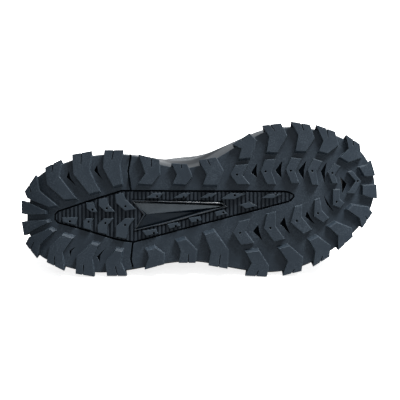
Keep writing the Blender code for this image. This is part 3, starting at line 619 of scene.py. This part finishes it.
# %% The channels
INLAY_EDGE = [
    (9.5, 10.2, 13.7), (10.3, 8.0, 15.9), (16.2, 3.0, 19.8), (22.1, -1.8, 24.2), (26.2, -5.0, 27.3),
    (28.0, -6.5, 28.3), (31.4, -6.5, 29.6), (38.1, -6.4, 25.2), (47.2, -6.3, 19.1), (61.4, -6.2, 9.8),
    (73.7, -6.0, 1.8), (75.1, -5.3, 0.7), (76.2, -3.4, -2.2),
]
SPLITS = [
    [(30.6, -31.6), (30.6, -30.0), (29.9, -20.0), (30.7, -7.0)],
    [(31.2, 30.0), (30.7, 42.0), (31.2, 47.0)],
]
channel_radius = 0.0008
channel_beside = (0.001, 0.002, 0.003)
treads = {
    "outsole_heel": standing_copy("outsole_heel", "heel_tread"),
    "outsole_forefoot": standing_copy("outsole_forefoot", "forefoot_tread"),
}


def beside_floor(corner, away):
    """A corner of a channel at the height of the rubber's floor beside it."""
    spots = [corner + away * step for step in channel_beside]
    heights = [max(seen_from_below(tread, spot).z for tread in treads.values()) for spot in spots]
    return Vector((corner.x, corner.y, sorted(heights)[1]))


def channel_tools():
    ring = [place(along, inner) for along, inner, outer in INLAY_EDGE]
    ring += [place(along, outer) for along, inner, outer in reversed(INLAY_EDGE)]
    around = zip(ring[-1:] + ring[:-1], ring, ring[1:] + ring[:1])
    spots = []
    for before, corner, after in around:
        outwards = Vector((after.y - before.y, before.x - after.x, 0)).normalized()
        spots.append(beside_floor(corner, outwards))
    tools = [round_line("channel", spots, channel_radius, True)]
    for split in SPLITS:
        spots = [beside_floor(place(*corner), Vector((1, 0, 0))) for corner in split]
        tools.append(round_line("channel", spots, channel_radius, False))
    return tools


# One set of cutters for each tread and one for the inlay.
channel_sets = [channel_tools() for _ in range(3)]
liner_depth = 0.0015
# A near-black cord laid deeper in every channel: painted shade over its floor.
shade_liner = joined(channel_tools(), "channel_shade_liner")
shade_liner.data.transform(Matrix.Translation((0, 0, liner_depth)))
smooth(shade_liner, 60)
lay_down(shade_liner, painted_shade_rubber, "outsole_rubber")

# %% Cut and lay down the two treads
for part, channels in zip(treads, channel_sets):
    tread = treads[part]
    tools = [sipe_tool(tread, *ends) for ends in SIPES[part]]
    tools += [vent_tool(tread, spot) for spot in VENTS.get(part, [])]
    tread.data.materials.append(tread_rubber)
    # The cut faces get the near-black rubber: painted shade in the sipes, vents, channels and slits.
    cut(tread, tools, painted_shade_rubber)
    for channel in channels:
        cut(tread, [channel], painted_shade_rubber)
    cut(tread, [slit_tool(tread, slit_fill[part], *bend) for bend in SLITS[part]], painted_shade_rubber)
    shade_like_moulding(tread)
    lay_down(tread, tread_rubber, "outsole_rubber", part)

# %% [markdown]
# The inlay is a spear of rubber, ribbed all over like corduroy. Its grooves run straight
# across it at an even pitch. They are cut a little deeper than the floor that its small lugs
# stand on, so the lugs keep their flat tops. The floor is painted darker than the lugs, and the
# grooves darker still: painted shade.

# %% Cut the inlay
rib_first = 10.3
rib_last = 75.8
rib_pitch = 1.114
rib_groove = 0.0015
rib_depth = 0.0011
rib_skim = 0.0001
rib_height = 0.0037
rib_floor = 0.0045
facing_down = -0.7
inlay_inner = -6
inlay_outer = 30
inlay_across = 11.5
inlay_reach = 0.045
inlay = standing_copy("outsole_center", "inlay")
grooves = []
for k in range(int((rib_last - rib_first) / rib_pitch) + 1):
    along = rib_first + k * rib_pitch
    spots = [seen_from_below(inlay, place(along, side)) for side in range(inlay_inner, inlay_outer)]
    height = max((spot.z for spot in spots if spot.z > 0), default=rib_floor)
    bpy.ops.mesh.primitive_cube_add(
        size=1,
        location=place(along, inlay_across, height + rib_depth / 2 - rib_skim),
        scale=(rib_groove, inlay_reach, rib_depth),
    )
    grooves.append(bpy.context.active_object)
vents = [vent_tool(inlay, spot) for spot in VENTS["outsole_center"]]
inlay.data.materials.append(inlay_rubber)
cut(inlay, vents, painted_shade_rubber)
# The groove walls get a darker rubber: painted shade.
cut(inlay, grooves, groove_shade_rubber)
for channel in channel_sets[2]:
    cut(inlay, [channel], painted_shade_rubber)
# The floor between the lugs gets a darker rubber: painted shade.
inlay.data.materials.append(inlay_floor_shade_rubber)
for face in inlay.data.polygons:
    if face.normal.z < facing_down and face.center.z > rib_height and face.material_index == 0:
        face.material_index = len(inlay.data.materials) - 1

# %% [markdown]
# A raised bead runs round the window of the inlay and hides the open ends of the ribs. A thin
# line of painted shade runs on both sides of it, as a near-black cord. All three are bent lines
# with a round bevel, which follow the tops of the ribs.

# %% The bead round the window and the painted shade lines beside it
WINDOW = [(31.1, 0.5), (34.5, 10.1), (31.7, 21.2), (41.7, 15.4), (51.0, 8.6), (57.4, 4.7), (56.2, 2.2)]
bead_radius = 0.0009
bead_sink = 0.0002
rib_probes = (0.0015, 0.0020, 0.0025, 0.0030, 0.0045, 0.0060)
rib_plain = 0.0050
shade_line_radius = 0.0006
shade_line_beside = 0.0013


def window_line(name, radius, step, deeper):
    """A round line along the window's edge, a step outwards, that follows the ribs' tops."""
    ring = [place(*corner) for corner in WINDOW]
    spots = []
    for before, corner, after in zip(ring[-1:] + ring[:-1], ring, ring[1:] + ring[:1]):
        outwards = Vector((before.y - after.y, after.x - before.x, 0)).normalized()
        heights = [seen_from_below(inlay, corner + outwards * probe).z for probe in rib_probes]
        height = min((height for height in heights if height > rib_height), default=rib_plain)
        spots.append(corner + outwards * step + Vector((0, 0, height + deeper)))
    return round_line(name, spots, radius, True)


bead = window_line("window_bead", bead_radius, 0.0, -bead_sink)
# Two near-black cords on both sides of the bead: painted shade.
shade_lines = [window_line("shade_line", shade_line_radius, step, shade_line_radius / 2) for step in (shade_line_beside, -shade_line_beside)]
window_shade_lines = joined(shade_lines, "window_shade_lines")
smooth(window_shade_lines, 60)
shade_like_moulding(inlay)
lay_down(inlay, inlay_rubber, "inlay_rubber", "outsole_center")
lay_down(window_shade_lines, painted_shade_rubber, "inlay_rubber")

# %% [markdown]
# The plate in the window is a hard, glossy plastic with two facets. Its solid has the right
# shape, so it stays and only gets its finish.

# %% The glossy plate
gloss, gloss_tree, gloss_shader = new_material("gloss plate")
wear = add(gloss_tree, "ShaderNodeTexNoise", {
    "Vector": place_on_shoe(gloss_tree),
    "Scale": 160.0,
    "Detail": 4.0,
})
feed(gloss_tree, gloss_shader, {
    "Base Color": (0.002, 0.005, 0.010, 1),
    "Roughness": ranged(gloss_tree, wear.outputs["Fac"], to_low=0.16, to_high=0.30),
    "Specular IOR Level": 0.45,
    "Specular Tint": (0.80, 0.92, 1.0, 1),
})
bead_gloss = moulded("bead gloss", (0.013, 0.020, 0.028), (0.04, 0.05, 0.06), 0.2, 0.28, edge=0.0, shine=0.8)
plate_node = nodes["shank_plate"]
plate_node.data.materials.clear()
plate_node.data.materials.append(gloss)
smooth(bead, 50)
lay_down(bead, bead_gloss, "gloss_plate")

# %% [markdown]
# The midsole is one block of foam. A subdivision surface turns its facets into soft swells,
# and creases keep the line where it meets the rubber crisp.

# %% Round the midsole
seat = standing_copy("midsole", "seat")
midsole = standing_copy("midsole", "foam_midsole")
make_quads(midsole, 50)
crease_sharp(midsole, 40, 0.8)
applied(midsole, "SUBSURF", levels=2, render_levels=2)
smooth(midsole, 40)
lay_down(midsole, midsole_foam, "midsole_foam", "midsole")

# %% [markdown]
# Cloth needs a weave. This group draws open mesh: rows of small round holes between threads,
# each row half a step on from the last, with a finer twist inside the threads. It reads a map
# in metres, so the same group also makes the close knit of the lining and of the tongue.

# %% The weave group
weave, weave_in, weave_out = group("open weave", [
    ("Map", "NodeSocketVector", None),
    ("Thread", "NodeSocketColor", (0.02, 0.022, 0.026, 1)),
    ("Hole", "NodeSocketColor", (0.003, 0.003, 0.004, 1)),
    ("Pitch", "NodeSocketFloat", 0.0022),
    ("Hole Size", "NodeSocketFloat", 0.25),
    ("Relief", "NodeSocketFloat", 0.0003),
], [("Colour", "NodeSocketColor"), ("Normal", "NodeSocketVector")])

per_metre = maths(weave, "DIVIDE", 1.0, weave_in["Pitch"])
turned = add(weave, "ShaderNodeMapping", {
    "Vector": weave_in["Map"],
    "Rotation": (0, 0, math.radians(45)),
})
holes = add(weave, "ShaderNodeTexVoronoi", {
    "Vector": turned.outputs["Vector"],
    "Scale": per_metre,
    "Randomness": 0.0,
}, voronoi_dimensions="2D")
open_mask = add(weave, "ShaderNodeMapRange", {
    "Value": holes.outputs["Distance"],
    "From Min": maths(weave, "ADD", weave_in["Hole Size"], 0.12),
    "From Max": weave_in["Hole Size"],
}, interpolation_type="SMOOTHSTEP")
twist = add(weave, "ShaderNodeTexVoronoi", {
    "Vector": weave_in["Map"],
    "Scale": maths(weave, "MULTIPLY", per_metre, 4.0),
    "Randomness": 0.25,
}, voronoi_dimensions="2D")
faded = add(weave, "ShaderNodeTexNoise", {
    "Vector": weave_in["Map"],
    "Scale": 45.0,
    "Detail": 3.0,
})
thread_colour = add(weave, "ShaderNodeVectorMath", {
    0: weave_in["Thread"],
    "Scale": ranged(weave, faded.outputs["Fac"], to_low=0.75, to_high=1.3),
}, operation="SCALE")
cloth_colour = add(weave, "ShaderNodeMix", {
    "Factor": open_mask.outputs[0],
    "A": thread_colour.outputs["Vector"],
    "B": weave_in["Hole"],
}, data_type="RGBA")
sunk = maths(weave, "MULTIPLY", twist.outputs["Distance"], -0.35)
dropped = maths(weave, "SUBTRACT", sunk, open_mask.outputs[0])
relief = maths(weave, "MULTIPLY", dropped, weave_in["Relief"])
cloth_bump = add(weave, "ShaderNodeBump", {"Height": relief, "Distance": 1.0})
feed(weave, weave_out, {
    "Colour": cloth_colour.outputs["Result"],
    "Normal": cloth_bump.outputs["Normal"],
})
print("weave group:", len(weave.nodes), "nodes")


def woven(name, thread, hole, pitch, hole_size, relief_depth, sheen, from_map=True):
    """A cloth material. It follows the piece's own map, or its place where it has none."""
    material, tree, shader = new_material(name)
    if from_map:
        spot = add(tree, "ShaderNodeUVMap", uv_map="surface").outputs["UV"]
    else:
        spot = place_on_shoe(tree)
    cloth = add(tree, "ShaderNodeGroup", {
        "Map": spot,
        "Thread": (*thread, 1),
        "Hole": (*hole, 1),
        "Pitch": pitch,
        "Hole Size": hole_size,
        "Relief": relief_depth,
    }, node_tree=weave)
    feed(tree, shader, {
        "Base Color": cloth.outputs["Colour"],
        "Normal": cloth.outputs["Normal"],
        "Roughness": 0.85,
        "Specular IOR Level": 0.3,
        "Sheen Weight": sheen,
        "Sheen Roughness": 0.5,
    })
    return material


mesh_cloth = woven("mesh cloth", (0.013, 0.016, 0.020), (0.003, 0.004, 0.005), 0.0024, 0.22, 0.0004, 0.08)
lining_knit = woven("lining knit", (0.026, 0.029, 0.033), (0.012, 0.013, 0.015), 0.0014, 0.10, 0.0002, 0.3)
tongue_knit = woven("tongue knit", (0.024, 0.028, 0.033), (0.006, 0.007, 0.008), 0.0018, 0.20, 0.0003, 0.2,
                    from_map=False)
footbed_cloth = woven("footbed cloth", (0.035, 0.038, 0.042), (0.015, 0.016, 0.018), 0.0012, 0.08, 0.0002,
                      0.3, from_map=False)
guard_film = moulded("guard film", (0.013, 0.016, 0.019), (0.05, 0.055, 0.06), 0.15, 0.42, 0.0008, 0.00004)
stay_leather = moulded("stay leather", (0.013, 0.016, 0.019), (0.05, 0.055, 0.06), 0.12, 0.72, 0.0005)

# %% [markdown]
# The upper is a closed shell of bands: twelve go up its outside, one rounds the top edge and
# seven come down inside as the lining. Counting the bands from the foot up tells cloth, toe
# guard, lace stay and lining apart.

# %% Count the bands of the upper
upper = standing_copy("upper", "mesh_upper")
foam_gap = 0.0006
above_shoe = 0.2
heel_centre = 0.12
toe_centre = 0.88
heel_shift = 0.08
linked = {v.index: set() for v in upper.data.vertices}
for edge in upper.data.edges:
    a, b = edge.vertices
    linked[a].add(b)
    linked[b].add(a)


def on_the_foam(vertex):
    above = Vector((vertex.co.x, vertex.co.y, above_shoe))
    hit, found, _, _ = seat.ray_cast(above, Vector((0, 0, -1)))
    return hit and vertex.co.z - found.z < foam_gap


def faces_out(vertex):
    """Tells whether a vertex looks away from the shoe's middle line, which lies aside at the heel."""
    middle_x = min(max(vertex.co.x, heel_centre * shoe_length), toe_centre * shoe_length)
    middle_y = heel_shift * ball_width if vertex.co.x < shoe_length / 2 else 0.0
    away = Vector((vertex.co.x - middle_x, vertex.co.y - middle_y))
    return vertex.normal.to_2d().dot(away) > 0


foot = [v.index for v in upper.data.vertices if on_the_foam(v)]
outer_foot = [i for i in foot if faces_out(upper.data.vertices[i])]
band_of = {i: 0 for i in outer_foot}
inner_foot = [i for i in foot if i not in band_of]
reached = set(foot)
newest = outer_foot
last_band = 0
while newest:
    last_band += 1
    ahead = sorted({j for i in newest for j in linked[i]} - reached)
    band_of.update({j: last_band for j in ahead})
    reached |= set(ahead)
    newest = ahead
band_of.update({i: last_band for i in inner_foot})
bpy.data.objects.remove(seat, do_unlink=True)
print("foot", len(outer_foot), len(inner_foot), "bands", last_band)

# %% [markdown]
# A weave needs a map of the surface in metres. Every band is a ring of vertices, so the way
# round is measured along each ring, from the middle of the heel to the middle of the toe on
# both sides. The way up is added from ring to ring. The two halves meet in a line at the toe.

# %% Map the upper in metres
foot_jump = 0.1
foot_edge = 0.003


def spot_of(i):
    return upper.data.vertices[i].co


def ring_from(start, beside):
    """The vertices of one band in order, from start towards the one that lies next to beside."""
    band = band_of[start]
    ring = [start]
    while True:
        ahead = [i for i in linked[ring[-1]] if band_of[i] == band and i not in ring
                 and (i in outer_foot) == (start in outer_foot)]
        if not ahead:
            return ring
        ring.append(min(ahead, key=lambda i: (spot_of(i) - spot_of(beside)).length))


def add_ring(belongs):
    """Adds the ring above the last one, from the vertex above the last one's start."""
    start, beside = rings[-1][:2]
    above = [j for j in linked[start] if belongs(j)]
    rings.append(ring_from(min(above, key=lambda j: (spot_of(j) - spot_of(start)).length), beside))


heel_vertex = min(outer_foot, key=lambda i: spot_of(i).x)
sideways = max((i for i in linked[heel_vertex] if i in outer_foot), key=lambda i: spot_of(i).y)
rings = [ring_from(heel_vertex, sideways)]
for band in range(1, last_band):
    add_ring(lambda j: band_of[j] == band)
add_ring(lambda j: j in inner_foot)
columns = len(rings[0])
column_of = {}
way_of = {}
climb = {}
for band, ring in enumerate(rings):
    looped = ring + ring[:1]
    steps = [(spot_of(a) - spot_of(b)).length for a, b in zip(looped, looped[1:])]
    for column, i in enumerate(ring):
        column_of[i] = column
        way_of[i] = (sum(steps[:column]), -sum(steps[column:]))
        under = rings[band - 1][column] if band else i
        climb[i] = climb[under] + (spot_of(i) - spot_of(under)).length if band else 0.0

# The edges that run slantwise from ring to ring go, which leaves clean squares.
only(upper)
bpy.ops.object.mode_set(mode="EDIT")
bpy.ops.mesh.select_mode(type="EDGE")
bpy.ops.mesh.select_all(action="DESELECT")
bpy.ops.object.mode_set(mode="OBJECT")
for edge in upper.data.edges:
    a, b = edge.vertices
    edge.select = band_of[a] != band_of[b] and column_of[a] != column_of[b]
bpy.ops.object.mode_set(mode="EDIT")
bpy.ops.mesh.dissolve_edges(use_verts=False)
bpy.ops.object.mode_set(mode="OBJECT")

# A face under the foot joins the first ring to the last, so it is mapped as a narrow edge.
surface_map = upper.data.uv_layers.new(name="surface")
for face in upper.data.polygons:
    spots = [column_of[i] for i in face.vertices]
    if max(spots) - min(spots) > columns / 2:
        spots = [spot or columns for spot in spots]
    side = 0 if max(spots) <= columns / 2 else 1
    climbs = [climb[i] for i in face.vertices]
    foot_face = max(climbs) - min(climbs) > foot_jump
    for loop, i, spot, height in zip(face.loop_indices, face.vertices, spots, climbs):
        way = 0.0 if spot == columns else way_of[i][side]
        surface_map.data[loop].uv = (way, -foot_edge if foot_face and height > foot_jump else height)
print(len(rings), "rings of", {len(ring) for ring in rings}, "highest climb", round(max(climb.values()), 3))

# %% [markdown]
# A real upper is knitted as one, with a smooth film at the toe and the heel, leather stays for
# the eyelets and a lining. Here a face finds its finish by its band and its place along the
# shoe. The seams are noted before the subdivision, while the rings are still known.

# %% Give each zone of the upper its cloth
CLOTH, GUARD, STAY, LINING = range(4)
guard_bands = 3
stay_band = 9
stay_start = 0.335
top_band = 12
guard_toe = 0.785
guard_heel = 0.085
seam_start = 0.01
stay_inset = 0.0022
toe_inset = 0.0070
for material in (mesh_cloth, guard_film, stay_leather, lining_knit):
    upper.data.materials.append(material)
for face in upper.data.polygons:
    bands = [band_of[i] for i in face.vertices]
    band = min(bands)
    share = face.center.x / shoe_length
    zone = CLOTH
    if band >= top_band or (band == 0 and max(bands) == last_band):
        zone = LINING
    elif band < guard_bands and (share > guard_toe or share < guard_heel):
        zone = GUARD
    elif band >= stay_band and share > stay_start:
        zone = STAY
    face.material_index = zone


def seam_spots(band, from_share, to_share, inset):
    """Spots along the lower edge of a band, a little way up it, in order round the foot."""
    spots = []
    for i, j in zip(rings[band], rings[band + 1]):
        low, high = spot_of(i), spot_of(j)
        if from_share < low.x / shoe_length < to_share:
            spots.append(low + (high - low).normalized() * inset)
    return spots


stay_seam = seam_spots(stay_band, stay_start + seam_start, 1.0, stay_inset)
toe_seam = seam_spots(guard_bands - 1, guard_toe + seam_start, 1.0, toe_inset)
crease_sharp(upper, 40, 0.6)
applied(upper, "SUBSURF", levels=2, render_levels=2)
print("stay seam", len(stay_seam), "toe seam", len(toe_seam))

# %% [markdown]
# Six pairs of eyelets are punched through the stays. A ray from above finds the leather under
# each one, so that its hole, its ring and the lace all sit square to the surface there.

# %% Punch the eyelets
EYELETS = [
    (38.3, -6.3, 27.3), (42.4, -5.9, 24.9), (47.3, -6.9, 22.3),
    (52.8, -9.1, 20.0), (58.6, -11.3, 17.8), (64.5, -12.7, 15.0),
]
eyelet_radius = 0.0021
ring_thickness = 0.00055
punch_depth = 0.010


def seen_from_above(piece, along, across):
    """The point of a standing piece that shows above a place of the plan, and its normal."""
    start = place(along, across, above_shoe)
    hit, found, normal, _ = piece.ray_cast(start, Vector((0, 0, -1)))
    return (found, normal) if hit else (start, Vector((0, 0, 1)))


eyelet_spots = []
for along, inner, outer in EYELETS:
    eyelet_spots.append([seen_from_above(upper, along, across) for across in (inner, outer)])
punches = []
eyelet_rings = []
for pair in eyelet_spots:
    for spot, normal in pair:
        lean = normal.to_track_quat("Z", "Y").to_euler()
        bpy.ops.mesh.primitive_cylinder_add(
            vertices=20, radius=eyelet_radius, depth=punch_depth, location=spot, rotation=lean)
        punches.append(bpy.context.active_object)
        bpy.ops.mesh.primitive_torus_add(
            major_segments=24,
            minor_segments=8,
            major_radius=eyelet_radius + ring_thickness / 2,
            minor_radius=ring_thickness,
            location=spot + normal * ring_thickness / 4,
            rotation=lean,
        )
        eyelet_rings.append(bpy.context.active_object)
eyelets = joined(eyelet_rings, "eyelet_rings")
smooth(eyelets, 60)
print(len(punches), "eyelets")

# %% [markdown]
# The stays and the toe guard are sewn on. One stitch is a short bead of thread, a cylinder
# with bevelled ends. It is copied along each seam and turned to lie flat on the upper.

# %% Sew the seams
stitch_pitch = 0.0030
stitch_length = 0.0021
stitch_radius = 0.00032
stitch_bevel = 0.6
stitch_rise = 0.4
seam_break = 0.03


def evenly(spots, pitch):
    """Walks along the spots, stops at every pitch, and skips the step from side to side."""
    stops = []
    left = pitch / 2
    for here, ahead in zip(spots, spots[1:]):
        step = (ahead - here).length
        if step > seam_break:
            left = pitch / 2
            continue
        while left < step:
            stops.append((here.lerp(ahead, left / step), (ahead - here).normalized()))
            left += pitch
        left -= step
    return stops


bpy.ops.object.select_all(action="DESELECT")
bpy.ops.mesh.primitive_cylinder_add(vertices=6, radius=stitch_radius, depth=stitch_length)
first_stitch = bpy.context.active_object
applied(first_stitch, "BEVEL", width=stitch_radius * stitch_bevel, segments=1, limit_method="ANGLE")
stitches = []
for seam in (stay_seam, toe_seam):
    for stop, way in evenly(seam, stitch_pitch):
        _, spot, normal, _ = upper.closest_point_on_mesh(stop)
        stitch = first_stitch.copy()
        stitch.data = first_stitch.data.copy()
        bpy.context.collection.objects.link(stitch)
        along = (way - way.dot(normal) * normal).normalized()
        side = normal.cross(along)
        lie = Matrix((side.cross(along), side, along)).transposed().to_4x4()
        stitch.matrix_world = Matrix.Translation(spot + normal * stitch_radius * stitch_rise) @ lie
        stitches.append(stitch)
bpy.data.objects.remove(first_stitch, do_unlink=True)
stitching = joined(stitches, "stitching")
smooth(stitching, 50)
print(len(stitches), "stitches")

# %% [markdown]
# The insole is a loose foam footbed under thin cloth, and the tongue is a padded strip of
# knit. Both are soft all round, so a subdivision surface rounds them as it did the midsole.
# The tongue is laid down later, because the lace first has to find it while it stands.

# %% Round the insole and the tongue
for part, name, slot, finish in (
    ("insole", "footbed", "insole_cloth", footbed_cloth),
    ("tongue", "padded_tongue", "tongue_mesh", tongue_knit),
):
    piece = standing_copy(part, name)
    make_quads(piece, 50)
    crease_sharp(piece, 50, 0.5)
    applied(piece, "SUBSURF", levels=2, render_levels=2)
    smooth(piece, 50)
    if part == "tongue":
        tongue = piece
        continue
    lay_down(piece, finish, slot, part)

# %% [markdown]
# The lace is a flat woven ribbon. Each run starts as a flat grid, which is bent along a taut
# line from one eyelet to the next, as a string lies over the leather and the tongue, and gets
# its thickness from a Solidify modifier. Where two runs cross, one passes over the other. At
# both ends it narrows and dips into the eyelet.

# %% Thread the lace
lace_width = 0.0052
lace_thickness = 0.0013
lace_steps = 40
lace_rows = 4
lace_rise = 0.75
lift_at_crossing = 0.0016
crossing_share = 0.13
end_dip = 0.0005
end_tuck = 0.0022
end_share = 0.08
end_narrowing = 0.35
ribbon_droop = 0.0004


def taut(heights):
    """The highest line that a string pulled tight over these heights follows."""
    corners = [0]
    for i in range(1, len(heights)):
        while len(corners) > 1:
            a, b = corners[-2], corners[-1]
            if (heights[b] - heights[a]) * (i - a) > (heights[i] - heights[a]) * (b - a):
                break
            corners.pop()
        corners.append(i)
    line = []
    for a, b in zip(corners, corners[1:]):
        line += [heights[a] + (heights[b] - heights[a]) * (i - a) / (b - a) for i in range(a, b)]
    return line + [heights[-1]]


def lace_run(start, end, over):
    """One ribbon from the spot and normal of an eyelet to those of another."""
    (first, first_normal), (last, last_normal) = start, end
    bpy.ops.mesh.primitive_grid_add(
        x_subdivisions=lace_steps, y_subdivisions=lace_rows, size=1.0, calc_uvs=True)
    run = bpy.context.active_object
    shares = [i / lace_steps for i in range(lace_steps + 1)]
    plan = [first.lerp(last, share) for share in shares]
    heights = []
    for spot in plan:
        tops = [seen_from_above(piece, 100 * spot.x / shoe_length, 100 * spot.y / ball_width)[0].z
                for piece in (upper, tongue)]
        heights.append(max(top for top in tops if top < above_shoe) + lace_thickness * lace_rise)
    heights[0] = first.z - end_dip
    heights[-1] = last.z - end_dip
    line = taut(heights)
    for _ in range(2):
        line = [line[0]] + [(a + 2 * b + c) / 4 for a, b, c in zip(line, line[1:], line[2:])] + [line[-1]]
    path = []
    for share, spot, height in zip(shares, plan, line):
        hump = math.exp(-((share - 0.5) / crossing_share) ** 2) * lift_at_crossing * over
        path.append(Vector((spot.x, spot.y, height + hump)))
    length = sum((b - a).length for a, b in zip(path, path[1:]))
    run_map = run.data.uv_layers.active
    run_map.name = "surface"
    for entry in run_map.data:
        entry.uv = (entry.uv[0] * length, entry.uv[1] * lace_width)
    for vertex in run.data.vertices:
        step = round((vertex.co.x + 0.5) * lace_steps)
        across = vertex.co.y * 2
        share = step / lace_steps
        ahead = path[min(step + 1, lace_steps)] - path[max(step - 1, 0)]
        outwards = first_normal.lerp(last_normal, share).normalized()
        side = outwards.cross(ahead).normalized()
        outwards = ahead.cross(side).normalized()
        near_end = max(0.0, 1 - min(share, 1 - share) / end_share)
        half = lace_width / 2 * (1 - end_narrowing * near_end ** 2)
        spot = path[step] + side * across * half - outwards * ribbon_droop * across ** 2
        if step in (0, lace_steps):
            spot -= outwards * end_tuck
        vertex.co = spot
    applied(run, "SOLIDIFY", thickness=lace_thickness, offset=0)
    applied(run, "SUBSURF", levels=1, render_levels=1)
    return run


lace_runs = [lace_run(eyelet_spots[-1][0], eyelet_spots[-1][1], 0)]
for i in range(len(EYELETS) - 1, 0, -1):
    lace_runs.append(lace_run(eyelet_spots[i][0], eyelet_spots[i - 1][1], i % 2))
    lace_runs.append(lace_run(eyelet_spots[i][1], eyelet_spots[i - 1][0], (i + 1) % 2))
lace_braid = woven("lace braid", (0.030, 0.034, 0.039), (0.010, 0.011, 0.013), 0.0011, 0.12, 0.0002, 0.2)
lace = joined(lace_runs, "threaded_lace")
smooth(lace, 60)
lay_down(lace, lace_braid, "lace_cord", "lace")
print(len(lace_runs), "runs of lace")

# %% [markdown]
# The tongue, the stitches, the upper and its eyelet rings are laid down last. The eyelets are
# cut only now, because the rays for the lace needed whole leather under them.

# %% Lay down the upper and its trimmings
lay_down(tongue, tongue_knit, "tongue_mesh", "tongue")
lay_down(stitching, lace_braid, "upper_mesh")
# The walls of the eyelet holes get the near-black rubber: painted shade.
cut(upper, punches, painted_shade_rubber)
smooth(upper, 40)
lay_down(upper, mesh_cloth, "upper_mesh", "upper")
lay_down(eyelets, guard_film, "upper_mesh")

# %% [markdown]
# The box round the finished shoe is set against the box round the solids. The looks may stand
# out a little, but the shoe has to keep its real size.

# %% Measure the dressed shoe
dressed_box = [list(corner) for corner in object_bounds()]
before_and_after = zip(cad_box[0] + cad_box[1], dressed_box[0] + dressed_box[1])
print("grown by", [round((after - before) * 1000, 1) for before, after in before_and_after])
